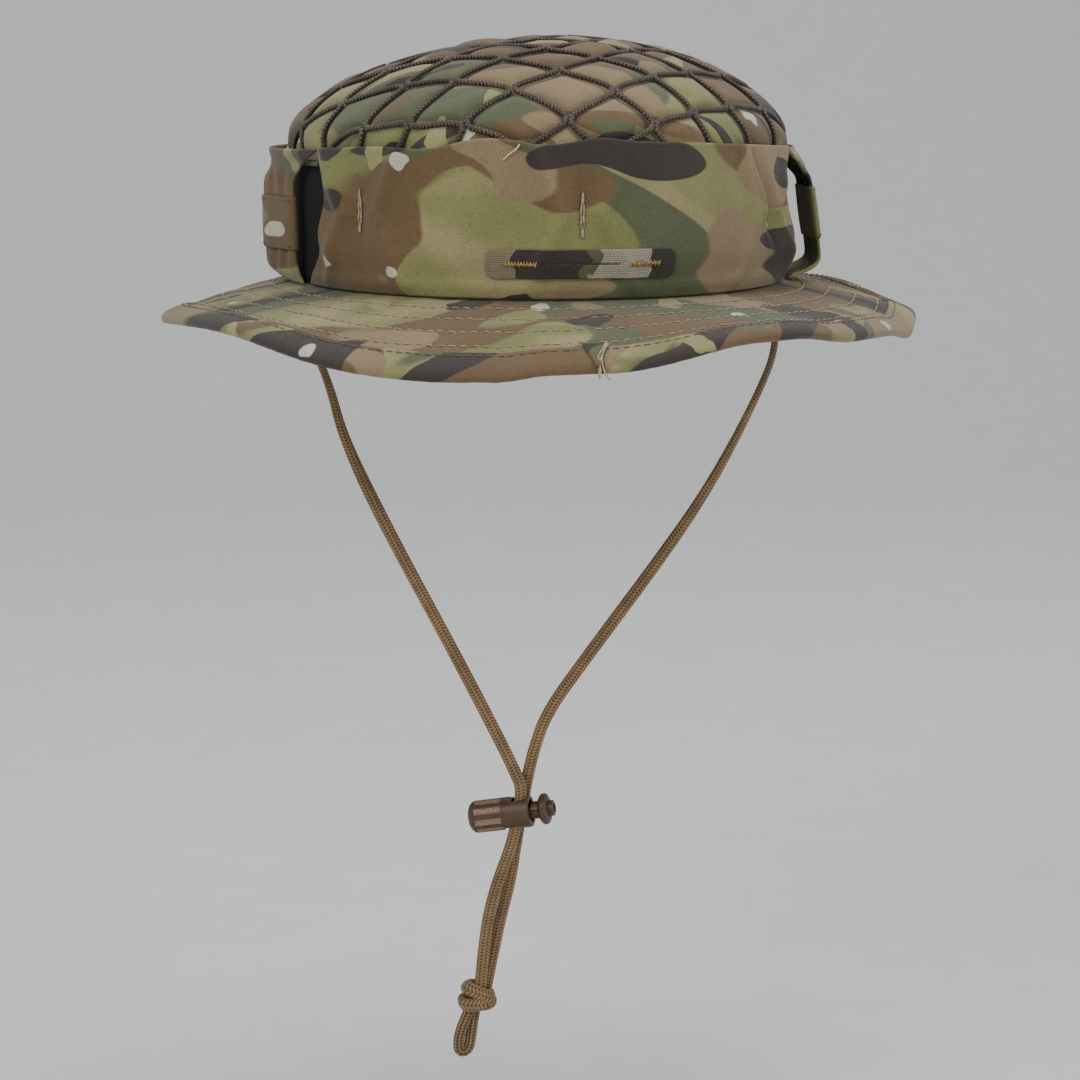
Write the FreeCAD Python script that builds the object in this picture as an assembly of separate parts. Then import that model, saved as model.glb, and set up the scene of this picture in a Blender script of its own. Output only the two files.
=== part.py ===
import FreeCAD, Part
import math
import os

# Boonie hat with a netted crown, slit side loops and a corded chin strap.
# Frame: +Z up, the front of the hat faces -Y, and the origin is the centre of the
# head opening at the level of the seam between crown and brim. Millimetres.
# Angles run from the front (0) towards +X (90), in degrees.

V = FreeCAD.Vector

# --- head opening and cloth -------------------------------------------------
HEAD_WIDTH = 170.0
HEAD_LENGTH = 198.0
SEWN_GAP = 0.15             # left between pieces that are sewn face to face
SWEATBAND_CLOTH = 1.3
SWEATBAND_RISE = 34.0
SWEATBAND_DROP = 1.6
WALL_CLOTH = 1.0
WALL_HEIGHT = 42.0
VENT_FROM = 58.0            # angles where a mesh vent starts and ends
VENT_TO = 108.0
SIDE_VENT_CLOTH = 0.6
ANGLE_STEP = 7.5            # spacing of the control points round the head

# --- crown top and its net --------------------------------------------------
SHOULDER_HEIGHT = 51.0      # where the side of the crown turns into the dome
DOME_RISE = 33.0
DOME_LEAN = (4.0, -12.0)    # how far the highest point sits from the middle
TOP_CLOTH = 1.0
NET_DEPTH = 1.6
NET_TUCK = 1.4              # the net starts this far above the crown wall

# --- foliage band round the crown -------------------------------------------
BAND_CLOTH = 1.1
BAND_HEIGHT_FRONT = 51.5
BAND_HEIGHT_SIDE = 47.0
BAND_END_FRONT = 64.0       # angle from the front where the front band ends
BAND_END_REAR = 75.0        # angle from the rear where the rear band ends
BAND_FLARE = 0.13           # the bands' feet reach further round by this share
BAND_STANDOFF = 2.4
BAND_PUFF = 2.6             # how far the free ends of the band puff out
TACK_ANGLE = 50.0
TACK_LENGTH = 15.5
TACK_LOW = 19.8
TACK_WIDTH = 1.0
THREAD_DEPTH = 0.5

# --- side loops and their keepers -------------------------------------------
LOOP_CLOTH = 1.2
LOOP_WAIST = 26.0
LOOP_TOP_WIDTH = 66.0
LOOP_FOOT_WIDTH = 38.0
LOOP_CENTRE_Y = -11.0
WAIST_LOW = 6.5
WAIST_HIGH = 36.5
# stand-off from the crown at the foot, both ends of the waist and the top
LOOP_STANDOFF = {"left": (2.4, 5.8, 6.4, 8.6), "right": (2.4, 13.0, 8.6, 3.6)}
LOOP_EDGE_STANDOFF = 2.6    # at the loop's top corners
LOOP_TWIST = {"left": 20.0, "right": 3.0}
KEEPER_HEIGHT = 18.5
KEEPER_LOW = {"left": 11.5, "right": 14.0}
KEEPER_CLOTH = 0.9
KEEPER_GAP = 0.3

# --- brim -------------------------------------------------------------------
BRIM_REACH = 49.0           # from the crown wall to the bound edge
BRIM_CLOTH = 0.6
BRIM_CORE = 1.0
BRIM_PLY_GAP = 0.05
BRIM_MEAN_DROP = 14.0
# how low the edge hangs below the seam, by angle
BRIM_EDGE_DROP = [
    (0, 17.4), (22, 8.4), (29, 8.4), (42, 11.4), (60, 13.4), (85, 13.0), (112, 8.0),
    (145, 13.0), (180, 19.0), (215, 22.0), (243, 21.0), (270, 13.0), (295, 8.8),
    (337, 20.6), (345, 19.9), (353, 17.6), (360, 17.4),
]
BINDING_WIDTH = 9.0
BINDING_CLOTH = 0.7
BINDING_GAP = 0.25

# --- front tab --------------------------------------------------------------
TAB_LENGTH = 62.0
TAB_HEIGHT = 9.5
TAB_MID_HEIGHT = 11.8
TAB_CLOTH = 1.0
TAB_CORNER = 2.8
TAB_SLIT_LENGTH = 24.0
TAB_SLIT = 0.6
BARTACK_LENGTH = 10.0
BARTACK_HEIGHT = 2.0
BARTACK_INSET = 6.0

# --- chin cord --------------------------------------------------------------
CORD = 3.3                  # diameter of the tubular braid
CORD_PLANE = -10.0          # y of the hanging cord
STRAND_PITCH = 3.4          # between the two strands inside the lock
ANCHOR_OUT = 2.0            # from the head opening out to the middle of the anchor
ANCHOR_WIDTH = 10.0
ANCHOR_LENGTH = 7.6
ANCHOR_TOP = -3.1
LEAN = 11.0                 # the strands under the lock lean this far from vertical
TAIL_LENGTH = 67.0          # from the lock's middle to the top of the knot
KNOT_RADIUS = 6.6
KNOT_HEIGHT = 12.0
KNOT_INSET = 1.5            # the strands and the loop run this far into the knot
KNOT_SHIFT = 2.0            # the knot sits this far to the left of the strands
TAIL_LOOP_LENGTH = 15.0
TAIL_LOOP_LEAN = 17.0
TAIL_LOOP_BEND = 2.75       # radius of the fold at the bottom of the loop

# --- cord lock --------------------------------------------------------------
LOCK_CENTRE = V(-8.0, CORD_PLANE, -199.2)
LOCK_TILT = 10.0            # the button end is higher
LOCK_TURN = 20.0            # and turned towards the front
BARREL_RADIUS = 6.1
BARREL_BACK = 19.1          # closed end, from the middle of the cord hole
BARREL_MOUTH = 4.6
BARREL_FLOOR = 2.4
PLUNGER_RADIUS = 4.2
PLUNGER_CLEARANCE = 0.1
PLUNGER_TAIL = 5.6
PRESS_TRAVEL = 2.0
HOLE_CLEARANCE = 0.12
HOLE_LENGTH = CORD + PRESS_TRAVEL + 4 * HOLE_CLEARANCE
HOLE_WIDTH = STRAND_PITCH + CORD + 2 * HOLE_CLEARANCE
HOLE_HIGH = CORD / 2 + 2 * HOLE_CLEARANCE      # the barrel pinches the cord on this side
HOLE_LOW = HOLE_HIGH - HOLE_LENGTH
SLOT_LOW = -HOLE_HIGH                          # and the plunger on this one
SLOT_HIGH = SLOT_LOW + HOLE_LENGTH
NECK_LENGTH = 3.2
NECK_RADIUS = 3.3
NECK_RIBS = 8
HEAD_RADIUS = 5.85
HEAD_THICK = 3.7
BOSS_RADIUS = 3.0
BOSS_HEIGHT = 1.9
FLUTES = 9
SCOOP_RADIUS = 5.0
SCOOP_DEPTH = 1.2
FLUTE_RADIUS = 2.2
FLUTE_DEPTH = 0.55
SPRING_RADIUS = 3.1
SPRING_WIRE = 0.6
SPRING_TURNS = 6

# --- worked out from the above ----------------------------------------------
WALL_IN = SWEATBAND_CLOTH + SEWN_GAP
WALL_OUT = WALL_IN + WALL_CLOTH
NET_IN = WALL_OUT + SEWN_GAP
NET_OUT = NET_IN + NET_DEPTH
BRIM_IN = WALL_IN
ANCHOR_X = HEAD_WIDTH / 2 + ANCHOR_OUT
BRIM_OUT = WALL_OUT + BRIM_REACH - BINDING_CLOTH - 0.9
BRIM_TOP = -SEWN_GAP
STRAND_UP = V(math.sin(math.radians(LEAN)), 0, math.cos(math.radians(LEAN)))
LOCK_ROTATION = (FreeCAD.Rotation(V(0, 0, 1), -LOCK_TURN)
                 * FreeCAD.Rotation(V(0, 1, 0), -LOCK_TILT))
STRAND_SIDE = STRAND_UP.cross(LOCK_ROTATION.multVec(V(1, 0, 0))).normalize()


# --- cloth made of spline sheets ----------------------------------------------

def knots(count, degree):
    """Clamped uniform knots and multiplicities for that many control points."""
    spans = count - degree
    return list(range(spans + 1)), [degree + 1] + [1] * (spans - 1) + [degree + 1]


def spline_face(poles, closed=False):
    """A face over a grid of control points, periodic in its first direction if closed."""
    across, up = len(poles), len(poles[0])
    degree_across, degree_up = min(3, across - 1), min(3, up - 1)
    across_knots, across_mults = knots(across, degree_across)
    if closed:
        across_knots, across_mults = list(range(across + 1)), [1] * (across + 1)
    up_knots, up_mults = knots(up, degree_up)
    surface = Part.BSplineSurface()
    surface.buildFromPolesMultsKnots(
        poles, across_mults, up_mults, across_knots, up_knots,
        closed, False, degree_across, degree_up)
    return surface.toShape()


def solid_of(faces):
    """One closed solid from faces that share their borders."""
    shell = Part.makeShell(faces)
    shell.sewShape()
    solid = Part.makeSolid(shell)
    if solid.Volume < 0:
        solid.reverse()
    return solid


def thick_sheet(outer, inner, closed=False, apex=False):
    """Cloth between two grids of control points, with its edges closed by ruled faces."""
    faces = [spline_face(outer, closed), spline_face(inner, closed)]
    for row in [0] if apex else [0, -1]:
        rim = [[a[row], b[row]] for a, b in zip(outer, inner)]
        faces.append(spline_face(rim, closed))
    if not closed:
        for end in (0, -1):
            side = [[a, b] for a, b in zip(outer[end], inner[end])]
            faces.append(spline_face(side))
    return solid_of(faces)


def oval_point(angle, offset, height, share=1.0):
    """A point on the head oval grown by offset, or on a share of that oval."""
    turn = math.radians(angle)
    across = (HEAD_WIDTH / 2 + offset) * math.sin(turn)
    along = -(HEAD_LENGTH / 2 + offset) * math.cos(turn)
    lean = max(0.0, 1 - share ** 2)
    return V(across * share + DOME_LEAN[0] * lean, along * share + DOME_LEAN[1] * lean, height)


def stations(first=0.0, last=360.0):
    """Angles of the control points round an arc, each with how far it stands outside it.

    A cubic spline runs inside its control points: by a sixth of the step squared in
    the middle of a run, by a third of that one place from a free end, not at all there.
    """
    count = max(4, round((last - first) / ANGLE_STEP))
    step = (last - first) / count
    spread = 1 + math.radians(step) ** 2 / 6
    if last - first == 360.0:
        return [(first + step * k, spread) for k in range(count)]
    near = 1 + math.radians(step) ** 2 / 18
    places = [(0, 1.0), (1 / 3, near)] + [(k, spread) for k in range(1, count)]
    places += [(count - 1 / 3, near), (count, 1.0)]
    return [(first + step * k, grow) for k, grow in places]


def ring(rows, first=0.0, last=360.0):
    """A grid round the head; a row is (offset, height), each a number or f(angle)."""
    grid = []
    for angle, spread in stations(first, last):
        column = []
        for row in rows:
            offset, height, *share = [value(angle) if callable(value) else value for value in row]
            share = share[0] if share else 1.0
            point = oval_point(angle, offset, height, share)
            column.append(V(point.x * spread, point.y * spread, point.z))
        grid.append(column)
    return grid


def ring_sheet(outer_rows, inner_rows, first=0.0, last=360.0, apex=False):
    closed = last - first == 360.0
    outer, inner = ring(outer_rows, first, last), ring(inner_rows, first, last)
    return thick_sheet(outer, inner, closed, apex)


def upright(offset_in, cloth, low, high, first=0.0, last=360.0):
    """A plain upright strip round the head."""
    levels = [low + (high - low) * k / 3 for k in range(4)]
    outer = [(offset_in + cloth, level) for level in levels]
    inner = [(offset_in, level) for level in levels]
    return ring_sheet(outer, inner, first, last)


def ease(share):
    """A smooth step from 0 to 1."""
    share = min(1.0, max(0.0, share))
    return share * share * (3 - 2 * share)


# --- crown ------------------------------------------------------------------

def dome_rows(offset, lift):
    """Rows from the crown wall up over the dome to its crown."""
    low = WALL_HEIGHT + SEWN_GAP + lift
    rows = [(offset, low), (offset, (low + SHOULDER_HEIGHT) / 2), (offset, SHOULDER_HEIGHT)]
    for share in (0.985, 0.95, 0.88, 0.78, 0.66, 0.52, 0.36, 0.18, 0.06, 0.0):
        rise = DOME_RISE * (1 - share ** 1.9) ** 0.62
        drop = offset - WALL_OUT
        rows.append((offset, SHOULDER_HEIGHT + rise + drop, share))
    return rows


def crown_top():
    inner = dome_rows(WALL_OUT - TOP_CLOTH, 0.0)
    return ring_sheet(dome_rows(WALL_OUT, 0.0), inner, apex=True)


def crown_net():
    outer, inner = dome_rows(NET_OUT, NET_TUCK), dome_rows(NET_IN, NET_TUCK)
    return ring_sheet(outer, inner, apex=True)


def crown_wall(first, last):
    return upright(WALL_IN, WALL_CLOTH, 0.0, WALL_HEIGHT, first, last)


def side_vent(side):
    inset = (WALL_CLOTH - SIDE_VENT_CLOTH) / 2
    ends = sorted(side_sign(side) * angle for angle in (VENT_FROM + 0.2, VENT_TO - 0.2))
    return upright(WALL_IN + inset, SIDE_VENT_CLOTH, 0.0, WALL_HEIGHT, *ends)


def sweatband():
    return upright(0.0, SWEATBAND_CLOTH, -SWEATBAND_DROP, SWEATBAND_RISE)


# --- foliage band -----------------------------------------------------------

def band_top(angle):
    swing = (BAND_HEIGHT_FRONT - BAND_HEIGHT_SIDE) / 2
    return BAND_HEIGHT_SIDE + swing + swing * math.cos(math.radians(2 * angle))


def from_front(angle):
    """How far an angle is from the nearer of front and rear."""
    return abs((angle + 90.0) % 180.0 - 90.0)


def band_standoff(angle, share):
    """Gap between crown wall and band at a share of the band's height."""
    settle = ease(share / 0.3)
    end = math.exp(-((from_front(angle) - BAND_END_FRONT + 6.0) / 8.0) ** 2)
    return 0.3 + (BAND_STANDOFF - 0.3) * settle + BAND_PUFF * end * math.sin(math.pi * share)


def foliage_band(middle, half):
    """The outer band between two slits; its ends flare at the foot and draw in at the waist."""
    sides = []
    for extra in (BAND_CLOTH, 0.0):
        grid = []
        for angle, spread in stations(middle - half, middle + half):
            column = []
            for share in (0.0, 0.08, 0.2, 0.38, 0.56, 0.74, 0.9, 1.0):
                reach = 1 + BAND_FLARE * (1 - share) ** 3 - 0.06 * math.sin(math.pi * share)
                place = middle + (angle - middle) * reach
                offset = WALL_OUT + band_standoff(place, share) + extra
                point = oval_point(place, offset, 0.3 + share * (band_top(place) - 0.3))
                column.append(V(point.x * spread, point.y * spread, point.z))
            grid.append(column)
        sides.append(grid)
    return thick_sheet(*sides)


def on_band(middle, half_angle, low, high, lift, depth):
    """A patch lying on the band's outer face, between two heights."""
    sides = []
    for raised in (lift + depth, lift):
        grid = []
        for angle, spread in stations(middle - half_angle, middle + half_angle):
            column = []
            for j in range(5):
                height = low + (high - low) * j / 4
                share = (height - 0.3) / (band_top(angle) - 0.3)
                offset = WALL_OUT + band_standoff(angle, share) + BAND_CLOTH + raised
                point = oval_point(angle, offset, height)
                column.append(V(point.x * spread, point.y * spread, point.z))
            grid.append(column)
        sides.append(grid)
    return thick_sheet(*sides)


def front_angle(length):
    """The angle that a length across the front of the oval takes."""
    return math.degrees(math.asin(length / (HEAD_WIDTH / 2 + WALL_OUT + BAND_STANDOFF)))


def rounded_bar(length, height, corner, middle_z):
    """A rounded bar across the front, standing far enough in Y to cut with."""
    box = Part.makeBox(length, 60.0, height, V(-length / 2, -HEAD_LENGTH / 2 - 40, middle_z - height / 2))
    along_y = [edge for edge in box.Edges if abs(edge.tangentAt(edge.FirstParameter).y) > 0.9]
    return box.makeFillet(corner, along_y)


def front_tab():
    low, high = TAB_MID_HEIGHT - TAB_HEIGHT / 2, TAB_MID_HEIGHT + TAB_HEIGHT / 2
    blank = on_band(0.0, front_angle(TAB_LENGTH / 2 + 1), low - 1, high + 1, SEWN_GAP, TAB_CLOTH)
    shape = blank.common(rounded_bar(TAB_LENGTH, TAB_HEIGHT, TAB_CORNER, TAB_MID_HEIGHT))
    slit = rounded_bar(TAB_SLIT_LENGTH, TAB_SLIT, TAB_SLIT * 0.45, TAB_MID_HEIGHT)
    return shape.cut(slit)


def tab_bartacks():
    middle = TAB_LENGTH / 2 - BARTACK_INSET - BARTACK_LENGTH / 2
    half = front_angle(BARTACK_LENGTH / 2)
    low, high = TAB_MID_HEIGHT - BARTACK_HEIGHT / 2, TAB_MID_HEIGHT + BARTACK_HEIGHT / 2
    lift = 2 * SEWN_GAP + TAB_CLOTH
    return [on_band(side * front_angle(middle), half, low, high, lift, THREAD_DEPTH)
            for side in (-1, 1)]


def band_tacks(middle):
    half = front_angle(TACK_WIDTH / 2)
    return [on_band(middle + turn, half, TACK_LOW, TACK_LOW + TACK_LENGTH, SEWN_GAP, THREAD_DEPTH)
            for turn in (-TACK_ANGLE, 0.0, TACK_ANGLE)]


# --- side loops -------------------------------------------------------------

def crown_x(y):
    """Half width of the crown wall at y."""
    half_width, half_length = HEAD_WIDTH / 2 + WALL_OUT, HEAD_LENGTH / 2 + WALL_OUT
    return half_width * math.sqrt(1 - (y / half_length) ** 2)


def side_sign(side):
    return -1.0 if side == "left" else 1.0


def waist_standoff(side, height):
    _, low, high, _ = LOOP_STANDOFF[side]
    return low + (high - low) * (height - WAIST_LOW) / (WAIST_HIGH - WAIST_LOW)


def waist_frame(side):
    """At z = 0 on the strap's centre line: the point, the way outwards, and the way to the rear."""
    sign, twist = side_sign(side), math.radians(LOOP_TWIST[side])
    x = sign * (crown_x(LOOP_CENTRE_Y) + waist_standoff(side, 0.0))
    out = V(sign * math.cos(twist), -math.sin(twist), 0)
    rear = V(sign * math.sin(twist), math.cos(twist), 0)
    return V(x, LOOP_CENTRE_Y, 0), out, rear


def waist_slope(side):
    """Direction up the straight strap; z advances by one."""
    return V(side_sign(side) * (waist_standoff(side, 1.0) - waist_standoff(side, 0.0)), 0, 1)


def loop_rows(side):
    """(height, stand-off mid, stand-off corner, half width, how much it follows the crown)."""
    foot, top = LOOP_STANDOFF[side][0], LOOP_STANDOFF[side][3]
    waist, edge = LOOP_WAIST / 2, LOOP_EDGE_STANDOFF
    wide_foot, wide_top = LOOP_FOOT_WIDTH / 2, LOOP_TOP_WIDTH / 2
    rows = [(0.3, foot, foot, wide_foot, 1.0),
            (2.2, (foot + waist_standoff(side, 2.2)) / 2, foot, (wide_foot + waist) / 2, 0.6),
            (4.2, waist_standoff(side, 4.2), foot, waist + 1.4, 0.2)]
    for share in (0.0, 0.15, 0.32, 0.5, 0.68, 0.85, 1.0):
        height = WAIST_LOW + share * (WAIST_HIGH - WAIST_LOW)
        rows.append((height, waist_standoff(side, height), 0.0, waist, 0.0))
    crest = BAND_HEIGHT_SIDE
    rows.append((WAIST_HIGH + 2.8, waist_standoff(side, WAIST_HIGH + 2.8), edge, waist + 4.0, 0.5))
    rows.append((crest - 4.0, (waist_standoff(side, crest) + top) / 2, edge,
                 (wide_top + waist) / 2, 0.7))
    rows.append((crest - 2.0, top, edge, wide_top - 4.0, 1.0))
    rows.append((crest, top, edge, wide_top, 1.0))
    return rows


def side_loop(side):
    sign = side_sign(side)
    origin, out, rear = waist_frame(side)
    slope = waist_slope(side)
    faces = []
    for extra in (LOOP_CLOTH, 0.0):
        grid = []
        for k in range(11):
            across = -1.0 + k / 5.0
            column = []
            for height, middle, corner, half, follow in loop_rows(side):
                flat = origin + slope * height + rear * (across * half) + out * extra
                y = LOOP_CENTRE_Y + across * half
                standoff = corner + (middle - corner) * math.cos(across * math.pi / 2)
                curved = V(sign * (crown_x(y) + standoff + extra), y, height)
                column.append(flat * (1 - follow) + curved * follow)
            grid.append(column)
        faces.append(grid)
    return thick_sheet(*faces)


def keeper(side):
    """A cloth sleeve round the straight waist of a side loop."""
    origin, out, rear = waist_frame(side)
    slope = waist_slope(side)
    foot = origin + slope * KEEPER_LOW[side] + out * (LOOP_CLOTH / 2)
    turn = math.degrees(math.atan2(out.y, out.x))
    rings = []
    for grow in (KEEPER_GAP + KEEPER_CLOTH, KEEPER_GAP):
        deep, wide = LOOP_CLOTH / 2 + grow, LOOP_WAIST / 2 + grow
        outline = Part.makeBox(2 * deep, 2 * wide, 1.0, V(-deep, -wide, 0))
        upright_edges = [e for e in outline.Edges if abs(e.tangentAt(e.FirstParameter).z) > 0.9]
        outline = outline.makeFillet(min(grow, deep * 0.9), upright_edges)
        outline.rotate(V(0, 0, 0), V(0, 0, 1), turn)
        base = min(outline.Faces, key=lambda face: face.CenterOfMass.z)
        prism = base.extrude(slope * KEEPER_HEIGHT)
        prism.translate(foot)
        rings.append(prism)
    return rings[0].cut(rings[1])


# --- brim -------------------------------------------------------------------

def edge_drop(angle):
    """How low the brim's edge hangs at an angle, eased between the stated angles."""
    angle = angle % 360.0
    for (a, low), (b, high) in zip(BRIM_EDGE_DROP, BRIM_EDGE_DROP[1:]):
        if a <= angle <= b:
            return low + (high - low) * ease((angle - a) / (b - a))


def brim_top(angle, offset):
    """Height of the brim's upper face."""
    share = (offset - BRIM_IN) / (WALL_OUT + BRIM_REACH - BRIM_IN)
    cone = BRIM_MEAN_DROP * (0.7 * share + 0.3 * share ** 3)
    wave = (edge_drop(angle) - BRIM_MEAN_DROP) * share ** 2
    return BRIM_TOP - cone - wave


def brim_ply(top, bottom):
    """One ply of the brim between two depths below its upper face."""
    sides = []
    for depth in (top, bottom):
        rows = []
        for k in range(17):
            offset = BRIM_IN + k / 16 * (BRIM_OUT - BRIM_IN)
            rows.append((offset, lambda angle, r=offset, d=depth: brim_top(angle, r) - d))
        sides.append(rows)
    return ring_sheet(*sides)


def brim_plies():
    core = BRIM_CLOTH + BRIM_PLY_GAP
    under = core + BRIM_CORE + BRIM_PLY_GAP
    return {
        "brim_upper": brim_ply(0.0, BRIM_CLOTH),
        "brim_interlining": brim_ply(core, core + BRIM_CORE),
        "brim_lower": brim_ply(under, under + BRIM_CLOTH),
    }


def brim_binding():
    """Bias tape folded round the edge of the three plies."""
    deep = 2 * BRIM_CLOTH + BRIM_CORE + 2 * BRIM_PLY_GAP
    nose = WALL_OUT + BRIM_REACH
    start = nose - BINDING_WIDTH
    sides = []
    for cloth in (BINDING_CLOTH, 0.0):
        out = nose - BINDING_CLOTH + cloth
        over, under = BINDING_GAP + cloth, deep + BINDING_GAP + cloth
        path = [(start, over), (start + 3, over), (out - 3, over), (out - 0.8, over),
                (out, over - 0.9), (out, 0.9 - under), (out - 0.8, -under),
                (out - 3, -under), (start + 3, -under), (start, -under)]
        sides.append([(r, lambda angle, r=r, z=z: brim_top(angle, r) + z) for r, z in path])
    return ring_sheet(*sides)


# --- chin cord --------------------------------------------------------------

def down_the_cord(distance):
    """A point on the line that both strands hang along, below the lock's middle."""
    return LOCK_CENTRE - STRAND_UP * distance


def cord_route(side):
    """Route of one strand, from its anchor to the knot."""
    start = ANCHOR_TOP - ANCHOR_LENGTH
    if side == "left":
        plane = (-ANCHOR_X, -82.4, -76.4, -71.8, -56.5, -31.5, -14.3, -9.2)
        heights = (start, -23.5, -38.5, -57.5, -90.5, -138.5, -173.0, -184.0)
        hand = -STRAND_PITCH / 2
    else:
        plane = (ANCHOR_X, 88.0, 80.5, 66.0, 50.5, 18.5, 2.2, -2.6, -4.7)
        heights = (start, -25.5, -44.5, -72.5, -96.5, -139.0, -161.2, -174.5, -183.0)
        hand = STRAND_PITCH / 2
    points = []
    for k, (x, z) in enumerate(zip(plane, heights)):
        points.append(V(x, CORD_PLANE, z) + STRAND_SIDE * (hand * k / len(plane)))
    for distance in (-8.6, TAIL_LENGTH + KNOT_INSET):
        points.append(down_the_cord(distance) + STRAND_SIDE * hand)
    return points


def cord_tube(points, label):
    """A tube along straight runs joined by tangent arcs, each as large as its runs allow."""
    edges = []
    begin = points[0]
    radii = []
    for before, corner, after in zip(points, points[1:], points[2:]):
        back, ahead = before - corner, after - corner
        turn = math.pi - back.getAngle(ahead)
        reach = 0.45 * min(back.Length, ahead.Length)
        radii.append(reach / math.tan(turn / 2))
        back.normalize()
        ahead.normalize()
        enter, leave = corner + back * reach, corner + ahead * reach
        inward = (back + ahead).normalize()
        sagitta = radii[-1] * (1 / math.cos(turn / 2) - 1)
        edges.append(Part.LineSegment(begin, enter).toShape())
        edges.append(Part.Arc(enter, corner + inward * sagitta, leave).toShape())
        begin = leave
    edges.append(Part.LineSegment(begin, points[-1]).toShape())
    path = Part.Wire(edges)
    circle = Part.makeCircle(CORD / 2, points[0], points[1] - points[0])
    tube = path.makePipeShell([Part.Wire(circle)], True, True)
    expected = math.pi * (CORD / 2) ** 2 * path.Length
    print("%s: length %.1f, smallest radius %.1f, volume %.4f of section x length"
          % (label, path.Length, min(radii), tube.Volume / expected))
    return tube


def cord_anchor(side):
    """A webbing tab folded over the end of the cord and sewn into the seam."""
    x = side_sign(side) * ANCHOR_X
    thick = CORD
    box = Part.makeBox(thick, ANCHOR_WIDTH, ANCHOR_LENGTH,
                       V(x - thick / 2, CORD_PLANE - ANCHOR_WIDTH / 2, ANCHOR_TOP - ANCHOR_LENGTH))
    upright_edges = [e for e in box.Edges if abs(e.tangentAt(e.FirstParameter).z) > 0.9]
    return box.makeFillet(thick * 0.3, upright_edges)


def hang(shape, top, lean):
    """Turns a shape made about a downward axis so that it hangs from a point."""
    shape.Placement = FreeCAD.Placement(top, FreeCAD.Rotation(V(0, 1, 0), lean))
    return shape


def cord_knot():
    """The outer shape of the doubled overhand knot."""
    half = KNOT_HEIGHT / 2
    outline = Part.BSplineCurve()
    outline.buildFromPolesMultsKnots(
        [V(0, 0, 0), V(KNOT_RADIUS, 0, 0), V(KNOT_RADIUS * 1.35, 0, -half),
         V(KNOT_RADIUS, 0, -KNOT_HEIGHT), V(0, 0, -KNOT_HEIGHT)],
        [4, 1, 4], [0, 1, 2], False, 3)
    wire = Part.Wire([outline.toShape(), Part.LineSegment(V(0, 0, -KNOT_HEIGHT), V(0, 0, 0)).toShape()])
    solid = Part.makeSolid(Part.Face(wire).revolve(V(0, 0, 0), V(0, 0, 1), 360))
    return hang(solid, down_the_cord(TAIL_LENGTH) - V(KNOT_SHIFT, 0, 0), LEAN)


def tail_loop():
    """The folded end of the cord below the knot."""
    leg = TAIL_LOOP_LENGTH - TAIL_LOOP_BEND - CORD / 2
    low = V(0, 0, -leg - TAIL_LOOP_BEND)
    left, right = V(-TAIL_LOOP_BEND, 0, -leg), V(TAIL_LOOP_BEND, 0, -leg)
    top_left, top_right = V(-TAIL_LOOP_BEND, 0, 0), V(TAIL_LOOP_BEND, 0, 0)
    path = Part.Wire([Part.LineSegment(top_left, left).toShape(), Part.Arc(left, low, right).toShape(),
                      Part.LineSegment(right, top_right).toShape()])
    circle = Part.Wire(Part.makeCircle(CORD / 2, top_left, V(0, 0, -1)))
    tube = path.makePipeShell([circle], True, True)
    top = down_the_cord(TAIL_LENGTH + KNOT_HEIGHT - KNOT_INSET) - V(KNOT_SHIFT + 1.5, 0, 0)
    return hang(tube, top, TAIL_LOOP_LEAN)


# --- cord lock --------------------------------------------------------------

def lock_place(shape):
    """Puts a shape made along X about the cord hole into its tilted place."""
    shape.Placement = FreeCAD.Placement(LOCK_CENTRE, LOCK_ROTATION)
    return shape


def turned(profile):
    """A solid turned about X from (x, radius) points."""
    points = [V(x, 0, r) for x, r in profile]
    wire = Part.makePolygon(points + [points[0]])
    return Part.makeSolid(Part.Face(wire).revolve(V(0, 0, 0), V(1, 0, 0), 360))


def cord_hole(low, high):
    """A slot for both strands, along their lean, between two places across them."""
    reach = 4 * BARREL_RADIUS
    box = Part.makeBox(high - low, HOLE_WIDTH, reach, V(low, -HOLE_WIDTH / 2, -reach / 2))
    upright_edges = [e for e in box.Edges if abs(e.tangentAt(e.FirstParameter).z) > 0.9]
    box = box.makeFillet(1.2, upright_edges)
    across = STRAND_SIDE.cross(STRAND_UP)
    box.Placement = FreeCAD.Placement(
        LOCK_CENTRE, FreeCAD.Rotation(across, STRAND_SIDE, STRAND_UP, "ZXY"))
    return box


def round_about(cutter, count, phase=0.0):
    """Copies of a cutter turned about X."""
    copies = []
    for k in range(count):
        copy = cutter.copy()
        copy.rotate(V(0, 0, 0), V(1, 0, 0), 360.0 * (k + phase) / count)
        copies.append(copy)
    return copies


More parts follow.
